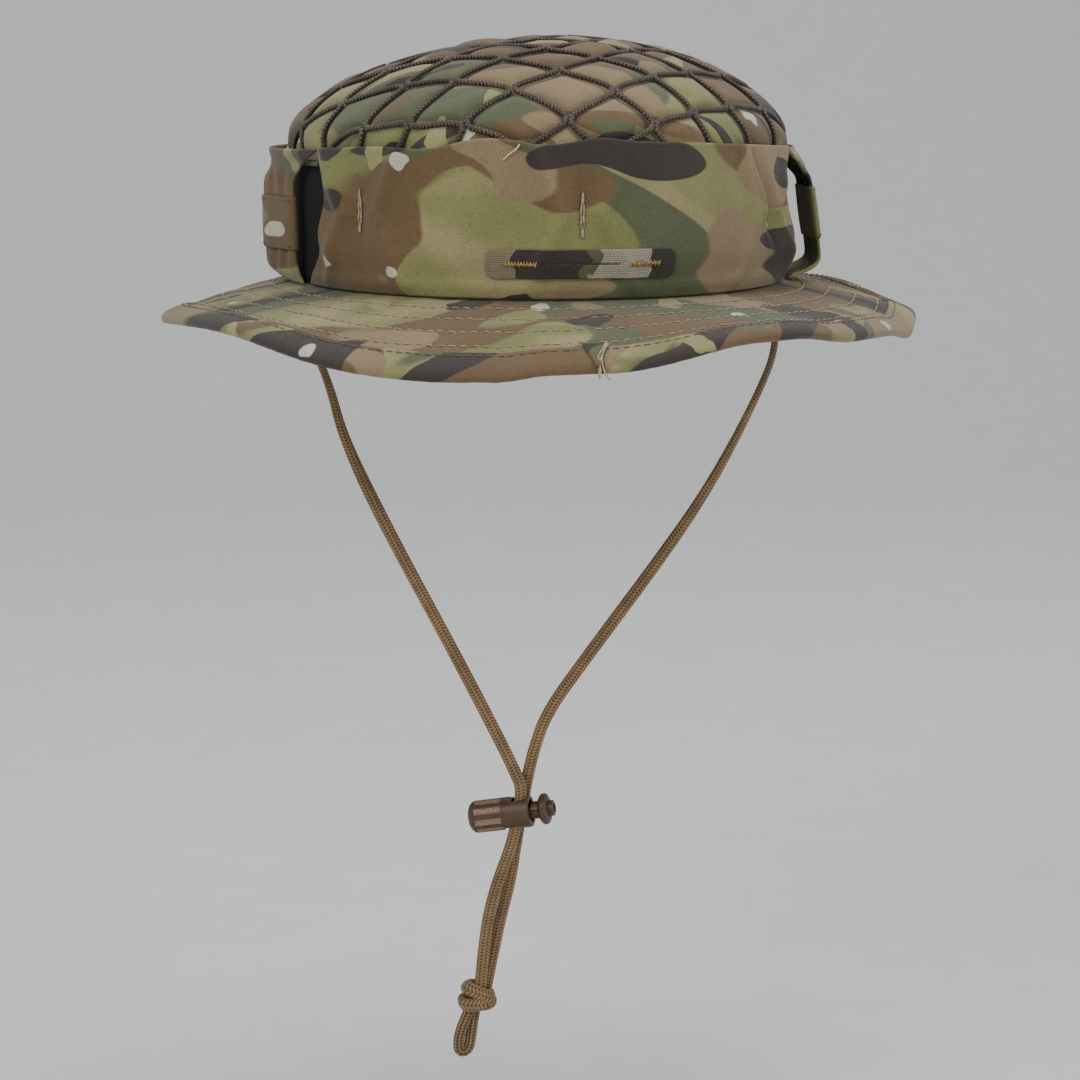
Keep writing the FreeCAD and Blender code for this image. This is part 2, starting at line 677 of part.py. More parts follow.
def lock_barrel():
    r, back, mouth = BARREL_RADIUS, -BARREL_BACK, BARREL_MOUTH
    bore_radius = PLUNGER_RADIUS + PLUNGER_CLEARANCE
    body = turned([(back, 0), (back, r - 2.2), (back + 0.6, r - 1.1), (back + 1.7, r - 0.2),
                   (back + 2.6, r), (mouth - 0.5, r), (mouth, r - 0.5), (mouth, 0)])
    bore = turned([(back + BARREL_FLOOR, 0), (back + BARREL_FLOOR, bore_radius),
                   (mouth + 1, bore_radius), (mouth + 1, 0)])
    body = body.cut(bore)
    middle = (HOLE_LOW + HOLE_HIGH) / 2
    for up in (-1, 1):
        centre = V(middle, -2 * r, up * (r + SCOOP_RADIUS - SCOOP_DEPTH))
        body = body.cut(Part.makeCylinder(SCOOP_RADIUS, 4 * r, centre, V(0, 1, 0)))
    length = BARREL_BACK - 4.6 + HOLE_LOW
    start = V(back + 2.4, 0, r + FLUTE_RADIUS - FLUTE_DEPTH)
    flute = Part.makeCylinder(FLUTE_RADIUS, length, start, V(1, 0, 0))
    for cutter in round_about(flute, FLUTES, 0.5):
        body = body.cut(cutter)
    return lock_place(body).cut(cord_hole(HOLE_LOW, HOLE_HIGH))


def lock_plunger():
    r, mouth, tail = PLUNGER_RADIUS, BARREL_MOUTH, -PLUNGER_TAIL
    under = mouth + NECK_LENGTH
    face = under + HEAD_THICK
    body = turned([
        (tail, 0), (tail, r - 0.4), (tail + 0.4, r), (mouth - 0.8, r), (mouth - 0.8, NECK_RADIUS),
        (under, NECK_RADIUS), (under, HEAD_RADIUS - 1.9), (under + 0.75, HEAD_RADIUS - 0.6),
        (under + 1.25, HEAD_RADIUS - 0.15), (under + 1.75, HEAD_RADIUS), (under + 2.4, HEAD_RADIUS),
        (under + 2.9, HEAD_RADIUS - 0.2), (under + 3.3, HEAD_RADIUS - 0.65), (face, HEAD_RADIUS - 1.5),
        (face, BOSS_RADIUS),
        (face + BOSS_HEIGHT - 0.4, BOSS_RADIUS), (face + BOSS_HEIGHT, BOSS_RADIUS - 0.4),
        (face + BOSS_HEIGHT, 1.7), (face + 0.5, 1.7), (face + 0.5, 0)])
    groove = Part.makeCylinder(0.65, under - mouth + 0.8, V(mouth - 0.8, 0, NECK_RADIUS + 0.2),
                               V(1, 0, 0))
    for cutter in round_about(groove, NECK_RIBS):
        body = body.cut(cutter)
    return lock_place(body).cut(cord_hole(SLOT_LOW, SLOT_HIGH))


def lock_spring():
    """Coil spring between the barrel's floor and the plunger's tail, ground flat at its ends."""
    gap = SEWN_GAP + SPRING_WIRE / 2
    low, high = -BARREL_BACK + BARREL_FLOOR + gap, -PLUNGER_TAIL - gap
    steps = 12
    swell = 1 + (2 * math.pi / steps) ** 2 / 6
    count = SPRING_TURNS * steps
    grid = []
    for j in range(steps):
        round_wire = 2 * math.pi * j / steps
        column = []
        for k in range(count + 1):
            turn = 2 * math.pi * k / steps
            out = SPRING_RADIUS * swell + SPRING_WIRE / 2 * swell * math.cos(round_wire)
            along = low + (high - low) * k / count + SPRING_WIRE / 2 * math.sin(round_wire)
            column.append(V(along, out * math.cos(turn), out * math.sin(turn)))
        grid.append(column)
    faces = [spline_face(grid, closed=True)]
    for end in (0, -1):
        rim = [column[end] for column in grid]
        middle = sum(rim, V()) / steps
        faces.append(spline_face([[point, middle] for point in rim], closed=True))
    return lock_place(solid_of(faces))


# --- the hat ----------------------------------------------------------------

def all_parts():
    parts = {
        "sweatband": sweatband(),
        "crown_wall_front": crown_wall(-VENT_FROM, VENT_FROM),
        "crown_wall_rear": crown_wall(VENT_TO, 360.0 - VENT_TO),
        "crown_top": crown_top(),
        "crown_net": crown_net(),
        "front_band": foliage_band(0.0, BAND_END_FRONT),
        "rear_band": foliage_band(180.0, BAND_END_REAR),
        "front_band_tacks": Part.makeCompound(band_tacks(0.0)),
        "rear_band_tacks": Part.makeCompound(band_tacks(180.0)),
        "front_tab": front_tab(),
        "tab_bartacks": Part.makeCompound(tab_bartacks()),
        "brim_binding": brim_binding(),
        "cord_knot": cord_knot(),
        "cord_tail_loop": tail_loop(),
        "cord_lock_barrel": lock_barrel(),
        "cord_lock_plunger": lock_plunger(),
        "cord_lock_spring": lock_spring(),
    }
    parts.update(brim_plies())
    for side in ("left", "right"):
        parts["side_vent_" + side] = side_vent(side)
        parts["side_loop_" + side] = side_loop(side)
        parts["keeper_" + side] = keeper(side)
        parts["cord_anchor_" + side] = cord_anchor(side)
        parts["chin_cord_" + side] = cord_tube(cord_route(side), "chin_cord_" + side)
    return parts


os.makedirs("parts", exist_ok=True)
for name, shape in all_parts().items():
    box = shape.BoundBox
    print("%-20s solids %d valid %s volume %9.1f  x %.1f..%.1f y %.1f..%.1f z %.1f..%.1f" % (
        name, len(shape.Solids), shape.isValid(), shape.Volume,
        box.XMin, box.XMax, box.YMin, box.YMax, box.ZMin, box.ZMax))
    shape.exportStep("parts/%s.step" % name)
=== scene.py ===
import bpy
import math
import numpy as np
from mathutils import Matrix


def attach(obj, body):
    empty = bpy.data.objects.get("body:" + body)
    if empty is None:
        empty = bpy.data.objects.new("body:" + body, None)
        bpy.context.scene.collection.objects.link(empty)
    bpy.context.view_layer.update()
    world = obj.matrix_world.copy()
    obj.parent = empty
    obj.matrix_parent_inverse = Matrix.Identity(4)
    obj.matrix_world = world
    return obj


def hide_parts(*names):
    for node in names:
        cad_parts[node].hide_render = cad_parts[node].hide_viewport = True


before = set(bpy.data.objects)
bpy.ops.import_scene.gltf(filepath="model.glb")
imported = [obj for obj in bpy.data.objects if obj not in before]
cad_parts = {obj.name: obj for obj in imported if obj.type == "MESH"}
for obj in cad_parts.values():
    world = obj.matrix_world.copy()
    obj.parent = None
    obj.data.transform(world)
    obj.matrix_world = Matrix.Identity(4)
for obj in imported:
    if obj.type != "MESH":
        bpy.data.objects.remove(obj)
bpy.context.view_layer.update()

# --- Camera -------------------------------------------------------------------
# A long lens a metre away, a little to the left of the hat's front and above the
# brim, looking slightly down so that the dome and the whole chin cord are in view.
eye = bpy.data.objects.new("camera", bpy.data.cameras.new("camera"))
eye.data.lens = 91.3
eye.data.sensor_width = 36.0
eye.location = (-math.sin(math.radians(8.2)), -math.cos(math.radians(8.2)), 0.08)
eye.rotation_euler = (math.radians(90 - 10.1), 0, math.radians(-8.2 - 0.063))
bpy.context.scene.collection.objects.link(eye)
bpy.context.scene.camera = eye

# --- Chin cord ----------------------------------------------------------------
# One soft tubular braid in two strands, sewn under the brim at each side and drawn
# together through the cord lock. It is pressed flat, with four ribs to each face.
BRAID_WIDTH = 0.0043
BRAID_DEPTH = 0.0023
LEFT_ROUTE = [
    (-0.087, -0.01, -0.0107), (-0.08247, -0.0102, -0.02349), (-0.07655, -0.0104, -0.03847),
    (-0.07202, -0.01059, -0.05746), (-0.0568, -0.01079, -0.09044), (-0.03187, -0.01099, -0.13843),
    (-0.01475, -0.01119, -0.17291), (-0.00972, -0.01139, -0.1839), (-0.00696, -0.01159, -0.19064),
    (-0.0108, -0.0119, -0.2102), (-0.0176, -0.0121, -0.2275), (-0.0216, -0.0121, -0.2455),
    (-0.02330, -0.01140, -0.26700)]
RIGHT_ROUTE = [
    (0.087, -0.01, -0.0107), (0.08807, -0.00982, -0.02551), (0.08063, -0.00965, -0.04453),
    (0.0662, -0.00947, -0.07254), (0.05077, -0.00929, -0.09655), (0.01883, -0.00912, -0.13906),
    (0.0026, -0.00894, -0.16128), (-0.00213, -0.00877, -0.17459), (-0.00417, -0.00859, -0.1831),
    (-0.00576, -0.00841, -0.19087), (-0.0090, -0.0081, -0.2104), (-0.0113, -0.0081, -0.2262),
    (-0.0160, -0.0081, -0.2440), (-0.02060, -0.00860, -0.26700)]


def hump(value, centre, width):
    """A bell: e to the minus square of the distance from its centre over its width."""
    return np.exp(-((value - centre) / width) ** 2)


def linear(red, green, blue):
    """A colour given in 0 to 255 steps, as the shader's linear light."""
    return [(channel / 255) ** 2.2 for channel in (red, green, blue)] + [1.0]


def run_of(points):
    """The length along a polyline at each of its points."""
    return np.concatenate([[0], np.cumsum(np.linalg.norm(np.diff(points, axis=0), axis=1))])


def even_points(points, step):
    """Points one step apart along a polyline: its coordinates read off against its length."""
    points = np.asarray(points, float)
    run = run_of(points)
    at = np.linspace(0, run[-1], max(8, int(run[-1] / step)) + 1)
    return np.stack([np.interp(at, run, points[:, axis]) for axis in range(3)], axis=1)


def hanging_line(name, points):
    """The smooth line of a limp cord: a quadratic NURBS curve over its route's points."""
    curve = bpy.data.curves.new(name, "CURVE")
    curve.dimensions = "3D"
    curve.resolution_u = 24
    spline = curve.splines.new("NURBS")
    spline.points.add(len(points) - 1)
    spline.points.foreach_set("co", np.array([(*point, 1.0) for point in points]).ravel())
    spline.order_u = 3
    spline.use_endpoint_u = True
    holder = bpy.data.objects.new(name, curve)
    mesh = bpy.data.meshes.new_from_object(holder)
    line = np.zeros(len(mesh.vertices) * 3)
    mesh.vertices.foreach_get("co", line)
    bpy.data.objects.remove(holder)
    bpy.data.curves.remove(curve)
    bpy.data.meshes.remove(mesh)
    return line.reshape(-1, 3)


def unit(vectors):
    """Each vector over its own length."""
    return vectors / np.maximum(np.linalg.norm(vectors, axis=-1, keepdims=True), 1e-12)


def surface_object(name, points, faces, values=None, uv=None):
    """A smooth-shaded mesh object at the origin, with an optional value on each point
    and an optional place in the cloth for each face corner, both in metres."""
    mesh = bpy.data.meshes.new(name)
    mesh.from_pydata(points, [], faces)
    mesh.polygons.foreach_set("use_smooth", [True] * len(mesh.polygons))
    if values is not None:
        mesh.attributes.new("relief", "FLOAT", "POINT").data.foreach_set("value", values)
    if uv is not None:
        mesh.uv_layers.new(name="cloth").data.foreach_set("uv", uv.ravel())
    mesh.update()
    piece = bpy.data.objects.new(name, mesh)
    bpy.context.scene.collection.objects.link(piece)
    return piece


def tube_faces(rows, sides):
    """The grid of a tube, and its faces: each joins a corner to the next round and along."""
    row, column = np.meshgrid(np.arange(rows), np.arange(sides), indexing="ij")
    after = (column + 1) % sides
    return row, column, np.stack([row * sides + column, (row + 1) * sides + column,
                                  (row + 1) * sides + after, row * sides + after], -1).reshape(-1, 4)


def strand(name, line, faceward, width, depth, relief, sides=32, twist=0.0, finish=None):
    """A cord: an oval carried along a line. At turn t round the oval the point is
    line + side * width/2 * cos t + face * depth/2 * sin t, and moves out by relief,
    a function of the length along the line and t. Each end closes on one point. The
    surface's own coordinates are the length in metres and the share of the way round."""
    along = unit(np.gradient(line, axis=0))
    side = unit(np.cross(along, faceward))
    face = np.cross(side, along)
    turn = np.asarray(twist)[..., None] * np.ones((len(line), 1))
    side, face = (side * np.cos(turn) + face * np.sin(turn),
                  face * np.cos(turn) - side * np.sin(turn))
    length = run_of(line)
    round_it = np.arange(sides) * 2 * math.pi / sides
    lift, tone = relief(length[:, None], round_it[None, :])
    out = (side[:, None] * np.cos(round_it)[None, :, None] * (width / 2 + lift)[..., None]
           + face[:, None] * np.sin(round_it)[None, :, None] * (depth / 2 + lift)[..., None])
    points = np.concatenate([(line[:, None] + out).reshape(-1, 3), line[:1], line[-1:]])
    tone = np.concatenate([(tone * np.ones_like(lift)).ravel(), [0.5, 0.5]])
    row, column, quads = tube_faces(len(line) - 1, sides)
    fan, last = np.arange(sides), (len(line) - 1) * sides
    low = np.stack([np.full(sides, len(points) - 2), fan, (fan + 1) % sides], 1)
    high = np.stack([np.full(sides, len(points) - 1), last + (fan + 1) % sides, last + fan], 1)
    place = np.stack([np.stack([length[row + a], (column + b) / sides], -1)
                      for a, b in ((0, 0), (1, 0), (1, 1), (0, 1))], 2).reshape(-1, 2)
    ends = np.concatenate([np.repeat([[0.0, 0.5]], sides * 3, 0), np.repeat([[length[-1], 0.5]], sides * 3, 0)])
    piece = surface_object(name, points, quads.tolist() + low.tolist() + high.tolist(), tone,
                           np.concatenate([place, ends]))
    if finish:
        piece.data.materials.append(finish)
    return piece


def braid_relief(length, turn):
    """A flat braid: eight lengthwise ribs, each a column of short picks that slant the
    other way from its neighbours'. Height is the rib's bulge plus the pick's. The tone, rib and
    pick again, becomes painted shade in the hollows and painted highlight on the picks."""
    column = turn * 8 / (2 * math.pi) + 0.5
    within = column - np.floor(column) - 0.5
    slant = np.where(np.floor(column) % 2 == 0, 1.0, -1.0)
    rib = np.sqrt(np.clip(1 - (2 * within) ** 2, 0, 1))
    pick = (0.5 + 0.5 * np.cos(2 * math.pi * (length / 0.00125 + slant * within * 0.8))) ** 0.7
    return 0.00010 * rib - 0.00008 + 0.00020 * pick * rib, 0.15 * rib + 0.85 * pick * rib


def shader(name, roughness, sheen=0.0):
    """A new material with its main shader's plain sockets set."""
    material = bpy.data.materials.new(name)
    material.use_nodes = True
    surface = material.node_tree.nodes["Principled BSDF"]
    surface.inputs["Roughness"].default_value = roughness
    surface.inputs["Sheen Weight"].default_value = sheen
    surface.inputs["Sheen Roughness"].default_value = 0.5
    return material, material.node_tree, surface


def node(tree, kind, sockets=(), **settings):
    """One node, with its settings and the sockets given as {name or number: value or link}."""
    made = tree.nodes.new(kind)
    for key, value in settings.items():
        setattr(made, key, value)
    for key, value in dict(sockets).items():
        if isinstance(value, bpy.types.NodeSocket):
            tree.links.new(value, made.inputs[key])
        else:
            made.inputs[key].default_value = value
    return made


def ramp(tree, factor, stops, smooth="LINEAR"):
    """A colour ramp over a factor, from (place, colour) stops."""
    made = node(tree, "ShaderNodeValToRGB", {"Fac": factor})
    made.color_ramp.interpolation = smooth
    elements = made.color_ramp.elements
    for place, colour in stops[1:-1]:
        elements.new(place)
    for element, (place, colour) in zip(elements, stops):
        element.position = place
        element.color = colour
    return made.outputs["Color"]


def mixed(tree, factor, first, second, how="MIX"):
    """Two colours mixed."""
    made = node(tree, "ShaderNodeMix", {"Factor": factor, 6: first, 7: second},
                data_type="RGBA", blend_type=how)
    return made.outputs[2]


def maths(tree, how, *values):
    """One sum on numbers or links."""
    return node(tree, "ShaderNodeMath", dict(enumerate(values)), operation=how).outputs[0]


def noise(tree, place, scale, **sockets):
    """Smooth noise over a place, from 0 to 1."""
    return node(tree, "ShaderNodeTexNoise", {"Vector": place, "Scale": scale, **sockets}).outputs["Fac"]


def mapped(tree, value, *ends):
    """A value carried from the range of the first two ends to that of the next two, or
    to 0 to 1, and held within it."""
    return node(tree, "ShaderNodeMapRange", {0: value, **dict(enumerate(ends, 1))}).outputs[0]


def object_place(tree):
    """The place on the piece in metres, from the hat's own origin."""
    return node(tree, "ShaderNodeTexCoord").outputs["Object"]


def flat_place(tree):
    """The place on the piece's flat cloth, in millimetres."""
    uv = node(tree, "ShaderNodeUVMap", uv_map="cloth").outputs["UV"]
    return node(tree, "ShaderNodeVectorMath", {0: uv, "Scale": 1000.0}, operation="SCALE").outputs[0]


def dress(material, colour, height, strength, distance):
    """Joins a colour and the bump of a height to a material's main shader."""
    tree, surface = material.node_tree, material.node_tree.nodes["Principled BSDF"]
    tree.links.new(colour, surface.inputs["Base Color"])
    bump = node(tree, "ShaderNodeBump", {"Height": height, "Strength": strength, "Distance": distance})
    tree.links.new(bump.outputs["Normal"], surface.inputs["Normal"])
    return material


def cord_finish(name, dark, light, fuzz_scale):
    """Thread with painted shade in the hollows and painted highlight on the picks, read from the braid's relief
    tone, with slow fading along it.
    """
    material, tree, _ = shader(name, 0.78, 0.25)
    relief = node(tree, "ShaderNodeAttribute", attribute_name="relief").outputs["Fac"]
    place = object_place(tree)
    # painted shade and highlight: dark where the braid's tone is low, light where it is high
    threads = ramp(tree, relief, [(0.1, dark), (0.8, light)])
    fade = noise(tree, place, 140.0)
    faded = ramp(tree, fade, [(0.3, (0.72, 0.72, 0.72, 1)), (0.7, (1.12, 1.1, 1.05, 1))])
    fuzz = noise(tree, place, fuzz_scale, Detail=3.0)
    return dress(material, mixed(tree, 1.0, threads, faded, "MULTIPLY"), fuzz, 0.35, 0.0002)


coyote_braid = cord_finish("coyote_braid", linear(52, 36, 20), linear(158, 128, 86), 2600.0)
cords = {}
for side, route in (("left", LEFT_ROUTE), ("right", RIGHT_ROUTE)):
    line = even_points(hanging_line("line_" + side, route), 0.00024)
    share = np.linspace(0, 1, len(line))
    twist = 1.1 * hump(share, 0, 0.22) + 0.25 * np.sin(9 * share + (side == "left"))
    cords[side] = strand("chin_braid_" + side, line, (0.0, -1.0, 0.0), BRAID_WIDTH, BRAID_DEPTH,
                         braid_relief, 36, twist * np.clip((0.66 - share) / 0.08, 0, 1),
                         coyote_braid), line

# --- Knot and tail loop ---------------------------------------------------------
# Both strands tied together in one overhand knot; below it the cord turns back on
# itself in a small tight loop. The wraps lie on each other and slant down to the right.
KNOT_CENTRE = np.array([-0.0242, -0.01, -0.2706])
LEAN = math.radians(11)        # of the cord there, from upright


def knot_band(height, radius, tip, shift, start, turns, squash):
    """One band of the knot: a ring of a given radius round the cords, tipped so that it
    slants, squashed from front to back, and drifting by shift from its start to its end."""
    share = np.linspace(0, 1, 220)
    angle = np.radians(start) + 2 * math.pi * turns * share
    across, toward = np.array([math.cos(LEAN), 0.0, -math.sin(LEAN)]), np.array([0.0, -1.0, 0.0])
    down = np.array([-math.sin(LEAN), 0.0, -math.cos(LEAN)])
    drop = height + np.sin(angle) * tip[0] + np.cos(angle) * tip[1] + shift[1] * share
    reach = radius * (1 + 0.05 * np.sin(3 * angle))
    return (KNOT_CENTRE + (reach * np.cos(angle) + shift[0] * share)[:, None] * across
            + (squash * reach * np.sin(angle))[:, None] * toward - drop[:, None] * down)


def ring_relief(length, turn):
    """The same braid, drawn rounder round the tight bends of the knot."""
    lift, tone = braid_relief(length, turn)
    return 0.8 * lift, tone


def fit(piece, body, cad_node=None, finish=None):
    """Gives a piece its material, hangs it on its body, and hides the CAD node it takes the place of."""
    if finish:
        piece.data.materials.append(finish)
    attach(piece, body)
    if cad_node:
        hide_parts(cad_node)


wraps = []
for number, (height, radius, tip, shift, start, turns, squash, wide) in enumerate([
        (0.0028, 0.0050, (-0.0002, -0.0011), (0.0, 0.0), -92.0, 1.0, 0.84, 0.0050),
        (-0.0020, 0.0053, (0.0, 0.0012), (0.0, 0.0), -88.0, 1.0, 0.80, 0.0058),
        (0.0026, 0.0060, (0.0006, -0.0004), (0.0, -0.0046), -62.0, 0.32, 0.80, 0.0034)]):
    line = even_points(knot_band(height, radius, tip, shift, start, turns, squash), 0.0002)
    wraps.append(strand("knot_wrap_%d" % (number + 1), line, unit(line - KNOT_CENTRE), wide, 0.0027,
                        ring_relief, 40, 0.0, coyote_braid))
TAIL_LOOP = [
    (-0.0264, -0.0108, -0.2735), (-0.0292, -0.0110, -0.2790), (-0.0316, -0.0108, -0.2864),
    (-0.0313, -0.0102, -0.2921), (-0.0276, -0.0096, -0.2917), (-0.0266, -0.0094, -0.2860),
    (-0.0258, -0.0094, -0.2795), (-0.0247, -0.0096, -0.2735)]
line = even_points(hanging_line("tail_line", TAIL_LOOP), 0.0002)
tail_loop = strand("tail_loop_braid", line, (0.0, -1.0, 0.0), 0.0040, 0.0027, ring_relief, 32,
                   0.0, coyote_braid)
for wrap in wraps:
    fit(wrap, "hat")
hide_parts("cord_knot")
fit(tail_loop, "hat", "cord_tail_loop")

# --- Cord lock ------------------------------------------------------------------
# A moulded barrel with grained flutes round its closed half and a waist at the cord
# hole; a ribbed plunger with a flanged head stands out of it on a coil spring.
LOCK_CENTRE = (-0.008, -0.01, -0.1992)
LOCK_AXIS = (0.92542, -0.33682, 0.17365)


def moulded_plastic():
    """Satin brown plastic: spark-eroded grain that is coarser and paler in the flutes,
    where the distance from the lock's axis falls below the barrel's full radius."""
    material, tree, surface = shader("moulded_brown_plastic", 0.42)
    place = object_place(tree)
    offset = node(tree, "ShaderNodeVectorMath", {0: place, 1: LOCK_CENTRE}, operation="SUBTRACT")
    along = node(tree, "ShaderNodeVectorMath", {0: offset.outputs[0], 1: LOCK_AXIS},
                 operation="DOT_PRODUCT").outputs["Value"]
    on_axis = node(tree, "ShaderNodeVectorMath", {0: LOCK_AXIS, "Scale": along}, operation="SCALE")
    away = node(tree, "ShaderNodeVectorMath", {0: offset.outputs[0], 1: on_axis.outputs[0]},
                operation="DISTANCE").outputs["Value"]
    low = mapped(tree, away, 0.00605, 0.00592)
    back = mapped(tree, along, -0.0044, -0.0048)
    front = mapped(tree, along, -0.0167, -0.0163)
    back = maths(tree, "MULTIPLY", back, front)
    flute = maths(tree, "MULTIPLY", low, back)
    grain = node(tree, "ShaderNodeTexNoise", {"Vector": place, "Scale": 2600.0, "Detail": 2.0})
    coarse = node(tree, "ShaderNodeTexVoronoi", {"Vector": place, "Scale": 2600.0})
    brown = ramp(tree, noise(tree, place, 260.0),
                 [(0.3, linear(70, 50, 33)), (0.7, linear(86, 63, 43))])
    speck = ramp(tree, coarse.outputs["Distance"], [(0.1, linear(176, 150, 126)), (0.7, linear(112, 88, 68))])
    height = node(tree, "ShaderNodeMix", {"Factor": flute, 2: grain.outputs["Fac"],
                                          3: coarse.outputs["Distance"]}, data_type="FLOAT")
    rough = node(tree, "ShaderNodeMapRange", {0: grain.outputs["Fac"], 3: 0.34, 4: 0.52}).outputs[0]
    tree.links.new(rough, surface.inputs["Roughness"])
    return dress(material, mixed(tree, flute, brown, speck), height.outputs[0], 0.5, 0.00012)


def spring_steel():
    """Drawn wire: bright, with fine scratches along it."""
    material, tree, surface = shader("spring_wire", 0.28)
    surface.inputs["Metallic"].default_value = 1.0
    place = object_place(tree)
    drawn = node(tree, "ShaderNodeTexNoise", {"Vector": place, "Scale": 1800.0, "Detail": 4.0})
    steel = ramp(tree, drawn.outputs["Fac"], [(0.3, (0.36, 0.36, 0.37, 1)), (0.7, (0.62, 0.62, 0.63, 1))])
    tree.links.new(steel, surface.inputs["Base Color"])
    return material


brown_plastic = moulded_plastic()
lock = [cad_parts[part] for part in ("cord_lock_barrel", "cord_lock_plunger", "cord_lock_spring")]
for part, finish in zip(lock, (brown_plastic, brown_plastic, spring_steel())):
    part.data.materials.clear()
    part.data.materials.append(finish)
for side, (braid, line) in cords.items():
    fit(braid, "hat", "chin_cord_" + side)

# --- Crown top --------------------------------------------------------------------
# A soft dome of printed ripstop, pinned down by the net's cords so that it puffs up
# through every mesh. Its side runs down behind the outer band.
HEAD_WIDE, HEAD_LONG = 0.085, 0.099
WALL_FACE = 0.00245            # from the head oval to the crown wall's outer face
CLOTH = 0.0006
MESH_WIDE, MESH_TALL = 0.0160, 0.0285
NET_CORD = 0.0020


def control_weights(controls, samples):
    """How much each control row counts at each sample of a clamped uniform cubic spline,
    by the usual recursion: a basis function is the two of one degree less, each times
    its rise or fall across its own run of knots."""
    knots = np.concatenate([[0] * 3, np.arange(controls - 2), [controls - 3] * 3]).astype(float)
    at = np.clip(samples * (controls - 3), 0, controls - 3 - 1e-9)[:, None]
    basis = ((at >= knots[None, :-1]) & (at < knots[None, 1:])).astype(float)
    for degree in (1, 2, 3):
        rise, fall = knots[degree:-1] - knots[:-degree - 1], knots[degree + 1:] - knots[1:-degree]
        up = np.divide(at - knots[:-degree - 1], rise, out=np.zeros_like(basis[:, :-1]), where=rise > 0)
        down = np.divide(knots[degree + 1:] - at, fall, out=np.zeros_like(basis[:, :-1]), where=fall > 0)
        basis = up * basis[:, :-1] + down * basis[:, 1:]
    return basis


def dome_profile(samples):
    """Share of the oval's radius and height, from the net's lower edge up to the apex."""
    share = np.array([1, 1, 1, 0.985, 0.95, 0.88, 0.78, 0.66, 0.52, 0.36, 0.18, 0.06, 0.0])
    height = 0.051 + 0.033 * np.clip(1 - share ** 1.9, 0, 1) ** 0.62
    height[:3] = 0.0422, 0.0466, 0.051
    weights = control_weights(len(share), samples)
    return weights @ share, weights @ height


def dome_point(angle, samples, offset):
    """A point of the dome: the head oval grown by the offset, times the profile's share,
    leaning a little forwards and to the right towards the apex."""
    share, height = dome_profile(samples.ravel())
    share, height = share.reshape(samples.shape), height.reshape(samples.shape)
    lean = 1 - share ** 2
    grown = WALL_FACE + offset
    return np.stack([(HEAD_WIDE + grown) * share * np.sin(angle) + 0.004 * lean,
                     -(HEAD_LONG + grown) * share * np.cos(angle) - 0.012 * lean,
                     height + offset * (1 - share ** 6)], -1)


DOME_SAMPLES = np.linspace(0, 1, 400)
side_line = dome_point(np.full(400, math.pi / 2), DOME_SAMPLES, 0.0)
front_line = dome_point(np.zeros(400), DOME_SAMPLES, 0.0)
SIDE_RUN = run_of(side_line)
FRONT_RUN = run_of(front_line)
SIDE_LENGTH, FRONT_LENGTH = SIDE_RUN[-1], FRONT_RUN[-1] + 0.006


def flat_of(angle, samples):
    """Where a point of the dome lies when the cloth is spread flat: as far from the middle
    as it is from the apex along the cloth."""
    run = 1 - np.interp(samples, DOME_SAMPLES, SIDE_RUN / SIDE_LENGTH)
    return run * SIDE_LENGTH * np.sin(angle), -run * FRONT_LENGTH * np.cos(angle)


def dome_of(x, y, offset):
    """The point of the dome over a place on the flat cloth, and whether it is on the dome."""
    run = np.hypot(x / SIDE_LENGTH, y / FRONT_LENGTH)
    angle = np.arctan2(x / SIDE_LENGTH, -y / FRONT_LENGTH)
    samples = np.interp(1 - run, SIDE_RUN / SIDE_LENGTH, DOME_SAMPLES)
    return dome_point(angle, samples, offset), run


def net_drift(x, y):
    """Slow wandering of the net over the cloth: sums of long sine waves."""
    return (0.0018 * np.sin(31 * y + 1.3) + 0.0014 * np.sin(43 * x + 23 * y + 0.4)
            + 0.0013 * np.sin(97 * y - 62 * x),
            0.0022 * np.sin(36 * x + 0.8) + 0.0016 * np.sin(29 * x - 47 * y + 2.1)
            + 0.0015 * np.sin(112 * x + 2.0))


def net_sway(y):
    """How far a cord of the net swings to either side: a wave with flat tops, where it
    runs beside its neighbour for a few millimetres before they part again."""
    phase = y / MESH_TALL * 2 * math.pi
    pointed = (2 / math.pi) * np.arcsin(0.985 * np.sin(phase))
    return np.clip(1.18 * (0.6 * pointed + 0.4 * np.sin(phase)), -1, 1)


def net_distance(x, y):
    """Distance from a place on the flat cloth to the nearest cord of the net."""
    move_x, move_y = net_drift(x, y)
    x, y = x + move_x, y + move_y
    swing = (MESH_WIDE - NET_CORD) / 2 * net_sway(y)
    nearest = np.full(x.shape, 1.0)
    for parity in (1, -1):
        lane = 2 * MESH_WIDE
        beside = x - parity * swing - (0 if parity == 1 else MESH_WIDE)
        nearest = np.minimum(nearest, np.abs(beside - lane * np.round(beside / lane)))
    return nearest * 0.78


def cloth_folds(x, y, amount):
    """Soft creases in worn cloth: crossed long waves bent by slower ones."""
    bend = 0.8 * np.sin(41 * x + 17 * y) + 0.9 * np.sin(23 * y - 31 * x + 1.7)
    return amount * (np.sin(118 * x + 34 * y + 2.2 * bend) * 0.55 + np.sin(73 * y - 91 * x - 1.6 * bend) * 0.45)


